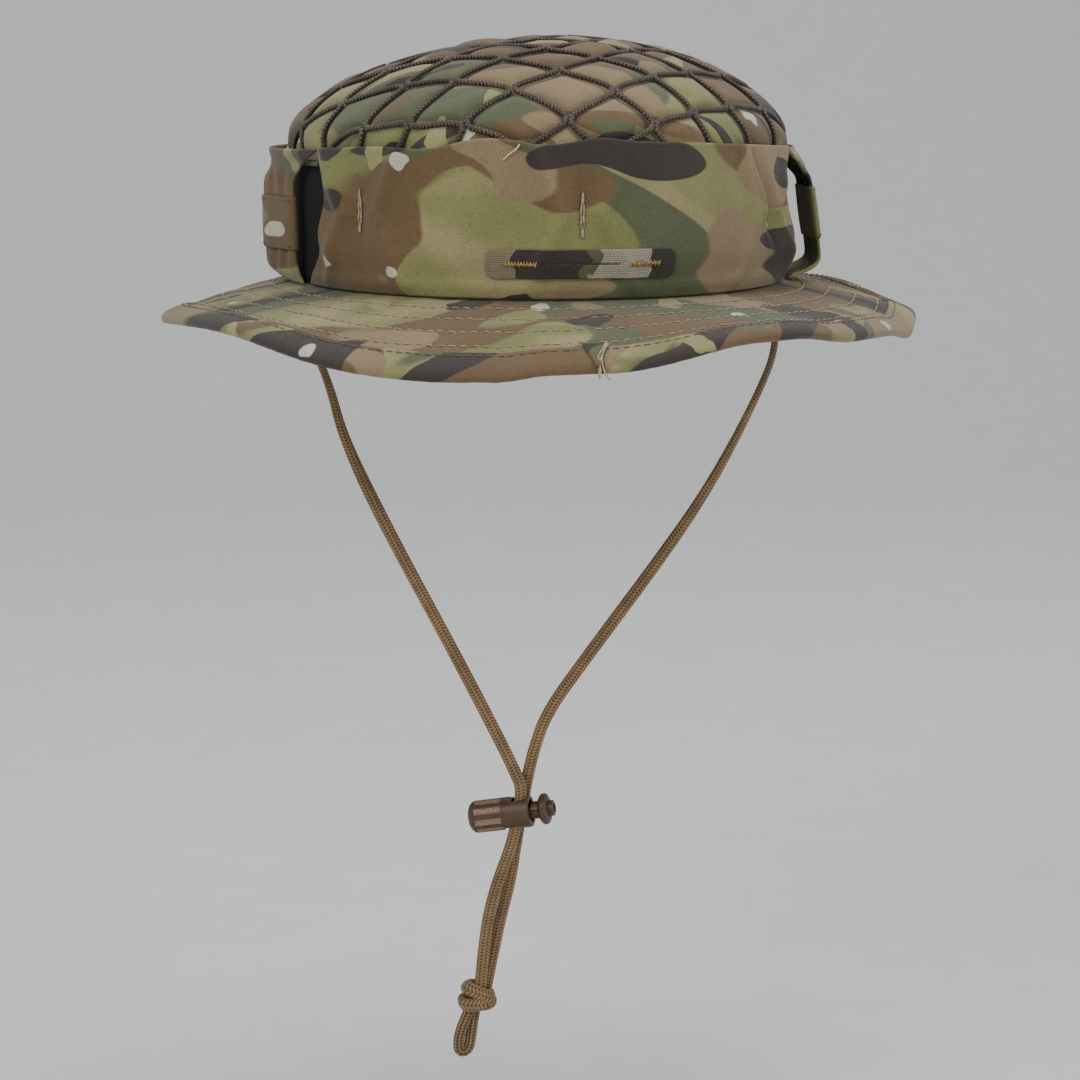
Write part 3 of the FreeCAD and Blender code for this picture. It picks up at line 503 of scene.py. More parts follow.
def cloth_piece(name, middle, thick, uv, wrap=False, pole=False):
    """A sheet of cloth from the grid of its middle surface. Each face of it is that grid
    moved half the thickness along the grid's normals; towards a free edge the two faces
    draw together, and a strip joins them. A pole closes the last row on one point."""
    if wrap:
        ahead = np.roll(middle, -1, axis=0) - np.roll(middle, 1, axis=0)
    else:
        ahead = np.gradient(middle, axis=0)
    normal = unit(np.cross(ahead, np.gradient(middle, axis=1)))
    wide, tall = middle.shape[:2]
    edge = np.ones((wide, tall))
    edge[:, 0] *= 0.45
    if not pole:
        edge[:, -1] *= 0.45
    if not wrap:
        edge[[0, -1], :] *= 0.45
    half = normal * (thick / 2 * edge)[..., None]
    points = np.concatenate([(middle + half).reshape(-1, 3), (middle - half).reshape(-1, 3)])
    count = wide * tall
    columns = wide if wrap else wide - 1
    i, j = np.meshgrid(np.arange(columns), np.arange(tall - 1), indexing="ij")
    after = (i + 1) % wide
    corners = [(i, j), (i + 1, j), (i + 1, j + 1), (i, j + 1)]
    quads = np.stack([i * tall + j, after * tall + j,
                      after * tall + j + 1, i * tall + j + 1], -1).reshape(-1, 4)
    places = np.stack([uv[a, b] for a, b in corners], axis=2).reshape(-1, 4, 2)
    faces, maps = [quads, quads[:, ::-1] + count], [places, places[:, ::-1]]
    rows = [0] if pole else [0, tall - 1]
    for row in rows:
        k = np.arange(columns)
        near, far = k * tall + row, ((k + 1) % wide) * tall + row
        strip = np.stack([near, near + count, far + count, far], -1)
        place = np.stack([uv[k, row], uv[k, row], uv[k + 1, row], uv[k + 1, row]], 1)
        faces.append(strip if row == 0 else strip[:, ::-1])
        maps.append(place if row == 0 else place[:, ::-1])
    if not wrap:
        for column in (0, wide - 1):
            k = np.arange(tall - 1)
            near = column * tall + k
            strip = np.stack([near, near + 1, near + 1 + count, near + count], -1)
            place = np.stack([uv[column, k], uv[column, k + 1], uv[column, k + 1], uv[column, k]], 1)
            faces.append(strip if column == 0 else strip[:, ::-1])
            maps.append(place if column == 0 else place[:, ::-1])
    faces, maps = np.concatenate(faces).tolist(), np.concatenate(maps).reshape(-1, 2)
    if pole:
        tips = np.stack([points[tall - 1:count:tall].mean(0), points[count + tall - 1::tall].mean(0)])
        points = np.concatenate([points, tips])
        k = np.arange(wide)
        near, far = k * tall + tall - 1, ((k + 1) % wide) * tall + tall - 1
        over = np.stack([near, far, np.full(wide, 2 * count)], -1)
        under = np.stack([far, near, np.full(wide, 2 * count + 1)], -1) + [count, count, 0]
        corner = np.stack([uv[k, -1], uv[k + 1, -1], (uv[k, -1] + uv[k + 1, -1]) / 2], 1)
        faces += over.tolist() + under.tolist()
        maps = np.concatenate([maps, corner.reshape(-1, 2), corner[:, [1, 0, 2]].reshape(-1, 2)])
    return surface_object(name, points, faces, None, maps)


def node_group(name, inputs, outputs):
    """An empty node group with its named sockets, and its two ends."""
    group = bpy.data.node_groups.new(name, "ShaderNodeTree")
    for way, sockets in (("INPUT", inputs), ("OUTPUT", outputs)):
        for label, kind in sockets.items():
            group.interface.new_socket(label, in_out=way, socket_type="NodeSocket" + kind)
    return group, group.nodes.new("NodeGroupInput"), group.nodes.new("NodeGroupOutput")


def print_group():
    """The camouflage print, over places on the cloth in millimetres. Each layer is a slow
    noise, stretched along the cloth and cut off at a level: green and brown fields on an
    olive to tan ground, then dark blots and thin pale twigs. Dark and light ovals are the
    middles of a few scattered cells."""
    group, start, end = node_group("camouflage_print", {"Place": "Vector"}, {"Color": "Color"})

    def layer(stretch, scale, seed, level, soft=0.012, distort=0.9, detail=0.6):
        place = node(group, "ShaderNodeMapping", {"Vector": start.outputs["Place"],
                     "Location": (seed * 37.0, seed * 19.0, seed * 7.0), "Scale": stretch})
        noise = node(group, "ShaderNodeTexNoise", {"Vector": place.outputs[0], "Scale": scale,
                     "Detail": detail, "Roughness": 0.4, "Distortion": distort})
        return mapped(group, noise.outputs["Fac"], level - soft, level + soft)

    def ovals(stretch, scale, seed, size, few):
        bend = node(group, "ShaderNodeTexNoise", {"Vector": start.outputs["Place"],
                    "Scale": 0.09}).outputs["Color"]
        bent = node(group, "ShaderNodeVectorMath", {0: bend, 1: (9.0,) * 3, 2: start.outputs["Place"]},
                    operation="MULTIPLY_ADD").outputs[0]
        place = node(group, "ShaderNodeMapping", {"Vector": bent,
                     "Location": (seed * 37.0, seed * 19.0, 0.0), "Scale": stretch})
        cells = node(group, "ShaderNodeTexVoronoi", {"Vector": place.outputs[0], "Scale": scale,
                     "Randomness": 0.75}, voronoi_dimensions="2D")
        chance = node(group, "ShaderNodeSeparateColor", {0: cells.outputs["Color"]}).outputs[0]
        chosen = maths(group, "LESS_THAN", chance, few)
        room = mapped(group, cells.outputs["Distance"], size + 0.012, size)
        return maths(group, "MULTIPLY", chosen, room)

    colour = mixed(group, layer((1, 1.8, 1), 0.017, 1, 0.5, 0.09), linear(122, 121, 78), linear(143, 132, 96))
    colour = mixed(group, layer((1, 2.0, 1), 0.015, 9, 0.52, 0.07), colour, linear(110, 112, 68))
    colour = mixed(group, layer((1, 1.9, 1), 0.0145, 2, 0.555, 0.007, 0.6, 0.3), colour, linear(80, 87, 61))
    colour = mixed(group, layer((1, 2.2, 1), 0.0150, 3, 0.540, 0.007, 0.6, 0.4), colour, linear(98, 79, 54))
    colour = mixed(group, layer((1, 1.7, 1), 0.0210, 12, 0.605, 0.007, 0.6, 0.3), colour, linear(127, 110, 84))
    colour = mixed(group, layer((1, 3.2, 1), 0.0160, 5, 0.632, 0.004, 0.6, 0.2), colour, linear(54, 47, 43))
    colour = mixed(group, ovals((1, 1.7, 1), 0.026, 6, 0.20, 0.22), colour, linear(54, 47, 43))
    colour = mixed(group, ovals((1.9, 0.8, 1), 0.028, 16, 0.17, 0.14), colour, linear(138, 134, 92))
    colour = mixed(group, ovals((1, 1.35, 1), 0.031, 8, 0.100, 0.12), colour, linear(184, 183, 162))
    group.links.new(colour, end.inputs["Color"])
    return group


def weave_group():
    """Plain weave over places on the cloth in millimetres: warp and weft as two crossed
    sines that pass over each other in turn, thicker grid threads every 5 mm, and slubs."""
    group, start, end = node_group("ripstop_weave", {"Place": "Vector", "Threads": "Float"},
                                   {"Height": "Float", "Tone": "Float"})

    axes = node(group, "ShaderNodeSeparateXYZ", {0: start.outputs["Place"]}).outputs
    turn = maths(group, "MULTIPLY", start.outputs["Threads"], math.pi)
    warp = maths(group, "SINE", maths(group, "MULTIPLY", axes[0], turn))
    weft = maths(group, "SINE", maths(group, "MULTIPLY", axes[1], turn))
    over = maths(group, "MULTIPLY", maths(group, "MULTIPLY", warp, weft), 0.5)
    grid = maths(group, "MAXIMUM", maths(group, "COSINE", maths(group, "MULTIPLY", axes[0], 2 * math.pi / 5.0)),
                     maths(group, "COSINE", maths(group, "MULTIPLY", axes[1], 2 * math.pi / 5.0)))
    grid = maths(group, "MULTIPLY", maths(group, "POWER", maths(group, "MAXIMUM", grid, 0.0), 90.0), 0.8)
    slubs = [noise(group, node(group, "ShaderNodeMapping", {"Vector": start.outputs["Place"],
                                                            "Scale": stretch}).outputs[0], 1.0, Detail=2.0)
             for stretch in ((0.35, 3.0, 1.0), (3.0, 0.35, 1.0))]
    threads = maths(group, "ADD", *slubs)
    group.links.new(maths(group, "ADD", maths(group, "ADD", over, grid), threads), end.inputs["Height"])
    group.links.new(maths(group, "ADD", threads, maths(group, "MULTIPLY", grid, 0.45)), end.inputs["Tone"])
    return group


camouflage_print, ripstop_weave = print_group(), weave_group()


def printed_cloth(name, shift=(0.0, 0.0), turn=0.0, threads=2.2, relief=0.00016):
    """Printed cotton-nylon cloth: the print, shaded thread by thread, a little rubbed, with
    the weave raised. A shift and a turn choose the part of the print that a piece is cut from."""
    material, tree, _ = shader(name, 0.86, 0.18)
    uv = node(tree, "ShaderNodeUVMap", uv_map="cloth").outputs["UV"]
    place = node(tree, "ShaderNodeMapping", {"Vector": uv, "Location": (1000 * shift[0], 1000 * shift[1], 0.0),
                 "Rotation": (0.0, 0.0, math.radians(turn)), "Scale": (1000.0,) * 3}).outputs[0]
    weave_place = node(tree, "ShaderNodeVectorMath", {0: uv, "Scale": 1000.0}, operation="SCALE").outputs[0]
    colour = node(tree, "ShaderNodeGroup", {}, node_tree=camouflage_print)
    tree.links.new(place, colour.inputs["Place"])
    weave = node(tree, "ShaderNodeGroup", {}, node_tree=ripstop_weave)
    tree.links.new(weave_place, weave.inputs["Place"])
    weave.inputs["Threads"].default_value = threads
    tone = ramp(tree, weave.outputs["Tone"], [(0.60, (0.72, 0.72, 0.71, 1)), (1.05, (1.24, 1.23, 1.20, 1))])
    rubbed = noise(tree, place, 0.035, Detail=4.0)
    wear = ramp(tree, rubbed, [(0.3, (0.90, 0.90, 0.89, 1)), (0.7, (1.08, 1.07, 1.04, 1))])
    shaded = mixed(tree, 1.0, mixed(tree, 1.0, colour.outputs["Color"], tone, "MULTIPLY"), wear, "MULTIPLY")
    return dress(material, shaded, weave.outputs["Height"], 0.6, relief)


crown_angles = np.linspace(0, 2 * math.pi, 400, endpoint=False)
crown_rows = np.linspace(0, 0.996, 112)
angle, sample = np.meshgrid(crown_angles, crown_rows, indexing="ij")
flat_x, flat_y = flat_of(angle, sample)
gap = net_distance(flat_x, flat_y)
puff = 1 - np.exp(-(gap / 0.0042) ** 1.7)
tuck = np.clip(sample / 0.05, 0, 1)
lift = (-0.0007 + 0.0025 * puff + (cloth_folds(flat_x, flat_y, 0.0007)
        + cloth_folds(1.9 * flat_y + 0.03, 1.7 * flat_x, 0.0005)) * puff) * tuck
middle = dome_point(angle, sample, lift)
wide_angle = np.linspace(0, 2 * math.pi, 401)[:, None] * np.ones((1, 112))
crown_uv = np.stack(flat_of(wide_angle, np.ones((401, 1)) * crown_rows[None, :]), -1)
crown_cloth = cloth_piece("crown_top_cloth", middle, CLOTH, crown_uv, wrap=True, pole=True)
fit(crown_cloth, "hat", "crown_top", printed_cloth("crown_camouflage", (0.56, 0.34), 12.0))

# --- Net ------------------------------------------------------------------------------
# Crocheted cord, two millimetres thick, in lanes that swing against each other and are
# knotted where they meet, so the meshes are diamonds. It is sewn in behind the band.


def net_relief(length, turn):
    """A crocheted cord: loops that bulge to the left and right in turn, one every 1.6 mm,
    where the phase of the bulge changes sign across the cord."""
    loops = 0.5 + 0.5 * np.sin(2 * math.pi * length / 0.0016) * np.cos(turn)
    return 0.00022 * loops - 0.00011, loops


def net_finish():
    """Dark cord with a tan thread that zigzags across its outer face. The thread is where
    the share of the way round is close to a triangle wave of the length."""
    material, tree, _ = shader("crocheted_cord", 0.8, 0.2)
    axes = node(tree, "ShaderNodeSeparateXYZ", {0: node(tree, "ShaderNodeUVMap", uv_map="cloth").outputs["UV"]})
    place = object_place(tree)
    loose = noise(tree, place, 900.0)
    length = maths(tree, "MULTIPLY_ADD", loose, 0.0009, axes.outputs[0])
    wave = maths(tree, "PINGPONG", length, 0.0007)
    across = mapped(tree, wave, 0.0, 0.0007, 0.10, 0.40)
    apart = maths(tree, "SUBTRACT", axes.outputs[1], across)
    near = maths(tree, "ABSOLUTE", apart)
    thread = mapped(tree, near, 0.075, 0.02)
    fibre = noise(tree, place, 2400.0, Detail=3.0)
    faded = noise(tree, place, 70.0)
    dark = ramp(tree, fibre, [(0.35, linear(24, 19, 15)), (0.7, linear(64, 51, 39))])
    light = ramp(tree, faded, [(0.35, linear(92, 74, 54)), (0.65, linear(146, 121, 92))])
    return dress(material, mixed(tree, thread, dark, light), maths(tree, "ADD", thread, fibre), 0.8, 0.0003)


lanes = int(SIDE_LENGTH / MESH_WIDE) + 2
net_points, net_faces, net_tones, net_places = [], [], [], []
for lane in range(-lanes, lanes + 1):
    along = np.linspace(-1, 1, 1500) * (FRONT_LENGTH + 0.01)
    swing = (1 if lane % 2 == 0 else -1) * (MESH_WIDE - NET_CORD) / 2 * net_sway(along)
    x, y = lane * MESH_WIDE + swing, along.copy()
    for _ in range(3):
        move_x, move_y = net_drift(x, y)
        x, y = lane * MESH_WIDE + swing - move_x, along - move_y
    line, run = dome_of(x, y, 0.0)
    on_dome = np.flatnonzero(run < 0.985)
    if len(on_dome) < 12:
        continue
    rise = 0.0013 + 0.0003 * np.sin(60 * y + lane)
    line, _ = dome_of(x, y, rise)
    line = even_points(line[on_dome[0]:on_dome[-1] + 1], 0.00042)
    middle_of_dome = np.array([0.0, 0.0, 0.02])
    piece = strand("lane", line, unit(line - middle_of_dome), NET_CORD, 0.0016, net_relief, 9)
    count = len(piece.data.vertices)
    points = np.zeros(count * 3)
    piece.data.vertices.foreach_get("co", points)
    tone = np.zeros(count)
    piece.data.attributes["relief"].data.foreach_get("value", tone)
    start_at = sum(len(block) for block in net_points)
    corners = np.zeros(len(piece.data.loops), int)
    piece.data.loops.foreach_get("vertex_index", corners)
    sizes = np.zeros(len(piece.data.polygons), int)
    piece.data.polygons.foreach_get("loop_total", sizes)
    net_faces += np.split(corners + start_at, np.cumsum(sizes)[:-1])
    net_points.append(points.reshape(-1, 3))
    net_tones.append(tone)
    where = np.zeros(len(piece.data.loops) * 2)
    piece.data.uv_layers["cloth"].data.foreach_get("uv", where)
    net_places.append(where.reshape(-1, 2))
    bpy.data.meshes.remove(piece.data)
net = surface_object("crown_net_cords", np.concatenate(net_points), net_faces, np.concatenate(net_tones),
                     np.concatenate(net_places))
fit(net, "hat", "crown_net", net_finish())

# --- Outer band -------------------------------------------------------------------------
# A tall strip of the same cloth, hemmed along its free upper edge, sewn in at the foot
# and tacked to the crown by columns of thread. Two slits at each side part it in two.
BAND_CLOTH = 0.0011
BAND_FOOT = 0.0003             # height of its lower edge
BAND_RADIUS = 0.095            # of the curve, to turn angles into lengths of cloth
FRONT_END, REAR_END = 64.0, 75.0


def band_top(angle):
    """Height of the band's edge: highest in front and behind, with a slack wave in it."""
    slack = (0.0016 * hump(angle, -20, 9) - 0.0016 * hump(angle, -33, 7)
             - 0.0012 * hump(angle, -8, 6) + 0.0012 * hump(angle, 4, 5))
    return 0.04925 + 0.00225 * np.cos(np.radians(2 * angle)) + slack


def band_gap(angle, share):
    """Distance from the crown wall: it leaves the seam smoothly and puffs near its ends."""
    settle = np.clip(share / 0.3, 0, 1)
    settle = settle ** 2 * (3 - 2 * settle)
    aside = np.abs((angle + 90) % 180 - 90)
    end = hump(aside, 58, 8)
    return 0.0003 + 0.0021 * settle + 0.0026 * end * np.sin(math.pi * share)


def on_oval(angle, offset, height):
    """The head oval grown by an offset, at a height."""
    turn = np.radians(angle)
    return np.stack([(HEAD_WIDE + offset) * np.sin(turn), -(HEAD_LONG + offset) * np.cos(turn),
                     height * np.ones_like(turn)], -1)


def band_slack(angle, share):
    """Where the cloth stands off its plain shape: pulled in at each column of tacks, loose
    between them, with slanting folds that start at the tacks and at the slits, one sharp
    pinch at the right tack, and a rolled foot over the seam."""
    height = share * 0.05
    beside = np.abs((((angle + 90) % 180 - 65) % 50) - 25) * 0.0016
    tack = hump(beside, 0, 0.004) * hump(height, 0.027, 0.012)
    loose = np.sin(np.radians(angle * 3.6) + 0.7) * 0.0006 * np.sin(math.pi * share)
    folds = cloth_folds(np.radians(angle) * BAND_RADIUS, height * 1.2, 0.0008)
    slant = 0.0017 * np.exp(-((beside * 1.0 - 0.007 - 0.45 * np.abs(height - 0.027)) / 0.0035) ** 2)
    end = np.clip((np.abs((angle + 90) % 180 - 90) - 36) / 28, 0, 1)
    wrinkle = end * 0.0011 * np.sin(np.radians(angle) * 26 + height * 210) * np.sin(math.pi * share)
    pinch = angle - 50 + 250 * (height - 0.022)
    pinch = (0.0020 * hump(pinch, -1.3, 0.9) - 0.0014 * hump(pinch, 0.5, 0.7)
             + 0.0019 * hump(pinch, 4.6, 2.4)) * hump(height, 0.033, 0.013)
    corner = 0.0030 * np.exp(-((angle - 60) / 5) ** 2 - ((height - 0.013) / 0.008) ** 2)
    hollow = -0.0016 * np.exp(-((angle - 57) / 4) ** 2 - ((height - 0.028) / 0.007) ** 2)
    roll = 0.0010 * hump(height, 0.0035, 0.0026)
    free = (loose + folds + wrinkle) * (1 - tack) + slant
    return (-0.0016 * tack + free + pinch + corner + hollow) * np.clip(share / 0.12, 0, 1) + roll


def band_share(angle, height):
    """The share of the band's height that a height is at."""
    return (height - BAND_FOOT) / (band_top(angle) - BAND_FOOT)


def band_point(angle, share, raised=0.0):
    """The band's middle surface at an angle and a share of its height."""
    offset = WALL_FACE + band_gap(angle, share) + BAND_CLOTH / 2 + band_slack(angle, share) + raised
    return on_oval(angle, offset, BAND_FOOT + share * (band_top(angle) - BAND_FOOT))


for name, facing, end, shift in (("front", 0.0, FRONT_END, (0.606, 0.194)),
                                 ("rear", 180.0, REAR_END, (0.71, 0.3))):
    across = np.linspace(-1, 1, 420)[:, None]
    share = np.linspace(0, 1, 90)[None, :]
    reach = 1 + 0.13 * (1 - share) ** 3 - 0.06 * np.sin(math.pi * share)
    angle = facing + across * end * reach
    share = share * np.ones_like(angle)
    middle = band_point(angle, share)
    cloth_place = np.stack([np.radians(angle - facing) * BAND_RADIUS, share * 0.051], -1)
    band = cloth_piece(name + "_band_cloth", middle, BAND_CLOTH, cloth_place)
    fit(band, "hat", name + "_band", printed_cloth(name + "_band_camouflage", shift))

# --- Side loops and keepers ---------------------------------------------------------------
# The strip of band between two slits, gathered to a strap by a sewn cloth sleeve, so that
# stems can be pushed behind it. The left strap has turned towards the front.
LOOP_FACTS = {
    "left": dict(sign=-1.0, twist=20.0, foot=2.4, low=5.8, high=6.4, top=8.6, keeper=11.5,
                 loop_print=(1.30, 0.823), keeper_print=(0.205, 0.3995)),
    "right": dict(sign=1.0, twist=3.0, foot=2.4, low=13.0, high=8.6, top=3.6, keeper=14.0,
                  loop_print=(0.12, 0.4), keeper_print=(0.55, 0.62))}


def crown_x(y):
    """Half width of the crown wall at y, in millimetres."""
    return 87.45 * np.sqrt(1 - (y / 101.45) ** 2)


def strap_frame(facts):
    """Millimetres: the strap's centre line at z = 0, the ways out and to the rear, its slope."""
    twist, sign = math.radians(facts["twist"]), facts["sign"]
    slope = (facts["high"] - facts["low"]) / 30.0
    origin = np.array([sign * (crown_x(-11.0) + facts["low"] - 6.5 * slope), -11.0, 0.0])
    out = np.array([sign * math.cos(twist), -math.sin(twist), 0.0])
    rear = np.array([sign * math.sin(twist), math.cos(twist), 0.0])
    return origin, out, rear, np.array([sign * slope, 0.0, 1.0])


def loop_middle(facts):
    """Grid of the loop's middle surface. Each height has a stand-off, a half width and a
    share by which it follows the crown's curve instead of the strap's flat; these run up
    the loop as splines. The gathered waist is fluted by folds that fade to the ends."""
    origin, out, rear, rise = strap_frame(facts)
    low, high, foot, top = facts["low"], facts["high"], facts["foot"], facts["top"]
    at = [0.3, 2.2, 4.2, 6.5, 11.0, 16.1, 21.5, 26.9, 32.0, 36.5, 39.3, 43.0, 45.0, 47.0]
    stand = lambda z: low + (high - low) * (z - 6.5) / 30.0
    centre = [foot, (foot + stand(2.2)) / 2] + [stand(z) for z in at[2:11]] + [(stand(47) + top) / 2, top, top]
    corner = [foot, foot, foot] + [0] * 7 + [2.6] * 4
    half = [19, 16, 14.4] + [13] * 7 + [17, 23, 29, 33]
    follow = [1, 0.6, 0.2] + [0] * 7 + [0.5, 0.7, 1, 1]
    weights = control_weights(14, np.linspace(0, 1, 100))
    z, centre, corner, half, follow = (weights @ np.array(row, float)
                                       for row in (at, centre, corner, half, follow))
    across = np.linspace(-1, 1, 90)[:, None]
    flat = (origin + rise * z[:, None])[None] + rear * (across * half[None])[..., None] + out * 0.6
    y = -11.0 + across * half[None]
    standing = corner + (centre - corner) * np.cos(across * math.pi / 2)
    curved = np.stack([facts["sign"] * (crown_x(y) + standing + 0.6), y, z[None] * np.ones_like(y)], -1)
    shape = flat * (1 - follow)[None, :, None] + curved * follow[None, :, None]
    squeezed = hump(z, 9.0, 5.0) + hump(z, 36.0, 4.5)
    flute = 0.55 * squeezed[None] * np.cos(across * 9.0 + 0.6) * (1 - across ** 6)
    shape = shape + out * flute[..., None]
    return shape / 1000, np.stack([across * half[None], z[None] * np.ones_like(y)], -1) / 1000


def keeper_middle(facts, columns=96, rows=44):
    """Grid of the sleeve: a flat oval ring carried along the strap, open at both ends,
    which bulges between its two rows of stitches."""
    origin, out, rear, rise = strap_frame(facts)
    turn = np.arange(columns) * 2 * math.pi / columns
    up = np.linspace(0, 1, rows)
    bulge = 0.28 * np.sin(math.pi * up) ** 0.6 + 0.22 * hump(up, 0.5, 0.5)
    deep = 1.25 + bulge[None] * np.abs(np.sin(turn))[:, None] * 0.8
    wide = 13.75 + 0.15 * np.sin(5 * up)[None]
    side, face = np.cos(turn)[:, None], np.sin(turn)[:, None]
    square = np.sign(side) * np.abs(side) ** 0.45 * wide, np.sign(face) * np.abs(face) ** 0.75 * deep
    along = facts["keeper"] + 18.5 * up
    centre = origin + rise * along[:, None] + out * 0.6
    points = centre[None] + rear * square[0][..., None] + out * square[1][..., None]
    lengths = np.linspace(0, 1, columns + 1)[:, None] * 58 * np.ones((1, rows))
    return points / 1000, np.stack([lengths, np.ones((columns + 1, 1)) * along[None]], -1) / 1000


for side, facts in LOOP_FACTS.items():
    middle, place = loop_middle(facts)
    if side == "left":
        middle, place = middle[::-1], place[::-1]
    loop = cloth_piece("side_loop_cloth_" + side, middle, 0.0012, place)
    fit(loop, "hat", "side_loop_" + side,
        printed_cloth("loop_camouflage_" + side, facts["loop_print"]))
    middle, place = keeper_middle(facts)
    if side == "right":
        middle, place = middle[::-1], place[::-1]
    sleeve = cloth_piece("keeper_cloth_" + side, middle, 0.0009, place, wrap=True)
    fit(sleeve, "keeper_" + side, "keeper_" + side,
        printed_cloth("keeper_camouflage_" + side, facts["keeper_print"]))

# --- Crown walls, vents and sweatband ---------------------------------------------------------
# Behind the band: the upright wall of the crown in two panels, a black open mesh at each
# side between them, coloured near black as painted shadow in the side slits, and inside, a tan sweatband.


def wall_middle(first, last, offset, low, high, columns, rows=24, folds=0.0):
    """Part of an upright oval wall, between two angles and two heights."""
    angle, height = np.meshgrid(np.linspace(first, last, columns), np.linspace(low, high, rows), indexing="ij")
    crease = folds * np.sin(np.radians(angle) * 37 + height * 60) * np.sin(np.radians(angle) * 11)
    return on_oval(angle, offset + crease, height), np.stack([np.radians(angle) * 0.093, height], -1)


def vent_mesh_painted_shadow_finish():
    """Black warp-knit mesh: round holes in staggered rows, near black all through as painted shadow in the side
    slits.
    """
    material, tree, _ = shader("black_vent_mesh_painted_shadow", 0.95)
    uv = node(tree, "ShaderNodeUVMap", uv_map="cloth").outputs["UV"]
    holes = node(tree, "ShaderNodeTexVoronoi", {"Vector": uv, "Scale": 620.0, "Randomness": 0.15},
                 voronoi_dimensions="2D").outputs["Distance"]
    # near-black colours: painted shadow filling the slits behind the side loops
    black = ramp(tree, holes, [(0.30, (0.0008, 0.0008, 0.0008, 1)), (0.42, (0.004, 0.004, 0.004, 1))])
    return dress(material, black, holes, 0.3, 0.0003)


def plain_cloth(name, dark, light):
    """Undyed lining cloth: the same weave in two close tones."""
    material, tree, _ = shader(name, 0.9, 0.15)
    place = flat_place(tree)
    weave = node(tree, "ShaderNodeGroup", {}, node_tree=ripstop_weave)
    tree.links.new(place, weave.inputs["Place"])
    weave.inputs["Threads"].default_value = 1.6
    tone = ramp(tree, weave.outputs["Tone"], [(0.5, dark), (1.05, light)])
    return dress(material, tone, weave.outputs["Height"], 0.6, 0.0002)


vent_mesh_painted_shadow = vent_mesh_painted_shadow_finish()
lining = plain_cloth("tan_lining", linear(92, 76, 54), linear(128, 108, 80))
walls = {"crown_wall_front": (-58.0, 58.0, 0.00195, 0.001, 0.0, 0.042, 240),
         "crown_wall_rear": (108.0, 252.0, 0.00195, 0.001, 0.0, 0.042, 280),
         "side_vent_right": (58.2, 107.8, 0.00195, 0.0006, 0.0, 0.042, 90),
         "side_vent_left": (-107.8, -58.2, 0.00195, 0.0006, 0.0, 0.042, 90),
         "sweatband": (0.0, 360.0, 0.00065, 0.0013, -0.0016, 0.034, 360)}
for cad_node, (first, last, offset, thick, low, high, columns) in walls.items():
    whole = last - first == 360.0
    middle, place = wall_middle(first, last, offset, low, high, columns + (1 if whole else 0))
    wall = cloth_piece(cad_node + "_cloth", middle[:-1] if whole else middle, thick, place, wrap=whole)
    if cad_node == "sweatband":
        wall.data.materials.append(lining)
    elif "vent" in cad_node:
        # the side vents get the near-black mesh, painted shadow in the slits
        wall.data.materials.append(vent_mesh_painted_shadow)
    else:
        wall.data.materials.append(printed_cloth(cad_node + "_camouflage", (0.4, 0.8)))
    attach(wall, "hat")
    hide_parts(cad_node)

# --- Brim -----------------------------------------------------------------------------------
# Two plies of printed cloth over an interlining, quilted together by four rows of tan
# stitching, with a bias binding folded over the edge. It droops in one long wave.
EDGE_DROP = np.array([
    (0, 17.4), (22, 8.4), (29, 8.4), (42, 11.4), (60, 13.4), (85, 13.0), (112, 8.0), (145, 13.0), (180, 19.0),
    (215, 22.0), (243, 21.0), (270, 13.0), (295, 8.8), (337, 20.6), (345, 19.9), (353, 17.6), (360, 17.4)])
STITCH_ROWS = (0.0095, 0.0185, 0.0275, 0.0360)
BIAS = 38.0, 2.6, 0.0002       # the tape's print: its turn, threads to the millimetre, relief


def edge_drop(angle):
    """How far the brim's edge hangs below the seam: eased between the stated angles."""
    angle = np.asarray(angle) % 360.0
    after = np.clip(np.searchsorted(EDGE_DROP[:, 0], angle, side="right"), 1, len(EDGE_DROP) - 1)
    first, last = EDGE_DROP[after - 1], EDGE_DROP[after]
    share = (angle - first[..., 0]) / (last[..., 0] - first[..., 0])
    share = share ** 2 * (3 - 2 * share)
    return (first[..., 1] + (last[..., 1] - first[..., 1]) * share) / 1000


def brim_point(angle, reach, down=0.0):
    """The brim's upper face at a distance out from the seam, or a depth below it. Its fall
    is 0.7 of the share of the way out plus 0.3 of that cubed, times the mean drop, plus
    the edge's own wave times the share squared. Each row of stitches lies in a groove."""
    share = reach / 0.050
    fall = 0.014 * (0.7 * share + 0.3 * share ** 3) + (edge_drop(angle) - 0.014) * share ** 2
    groove = sum(np.exp(-((reach - row) / 0.0011) ** 2) for row in STITCH_ROWS)
    quilted = np.clip(reach / 0.006, 0, 1) * np.clip((0.0405 - reach) / 0.002, 0, 1)
    ripple = np.sin(np.radians(angle) * 61 + reach * 330) * np.sin(np.radians(angle) * 17 + reach * 90)
    waves = 0.0006 * share * np.sin(np.radians(angle) * 9 + reach * 40) * np.sin(np.radians(angle) * 4 + 1)
    valley = (-0.0026 * share ** 2 * hump(angle, 63, 5.5)
              + 0.0016 * share ** 2 * hump(angle, 74, 6))
    height = -0.00015 - fall - 0.00034 * groove * quilted + 0.00022 * ripple * quilted + waves + valley
    return on_oval(angle, 0.00145 + reach, height - down)


def brim_grid(depth_low, depth_high, columns, rows, last=0.0478):
    """The middle surface of one ply, all the way round, and its place on the flat cloth."""
    angle, reach = np.meshgrid(np.linspace(0, 360, columns + 1), np.linspace(0, last, rows), indexing="ij")
    middle = brim_point(angle, reach, (depth_low + depth_high) / 2)
    return middle[:-1], middle[..., :2] * 1.0


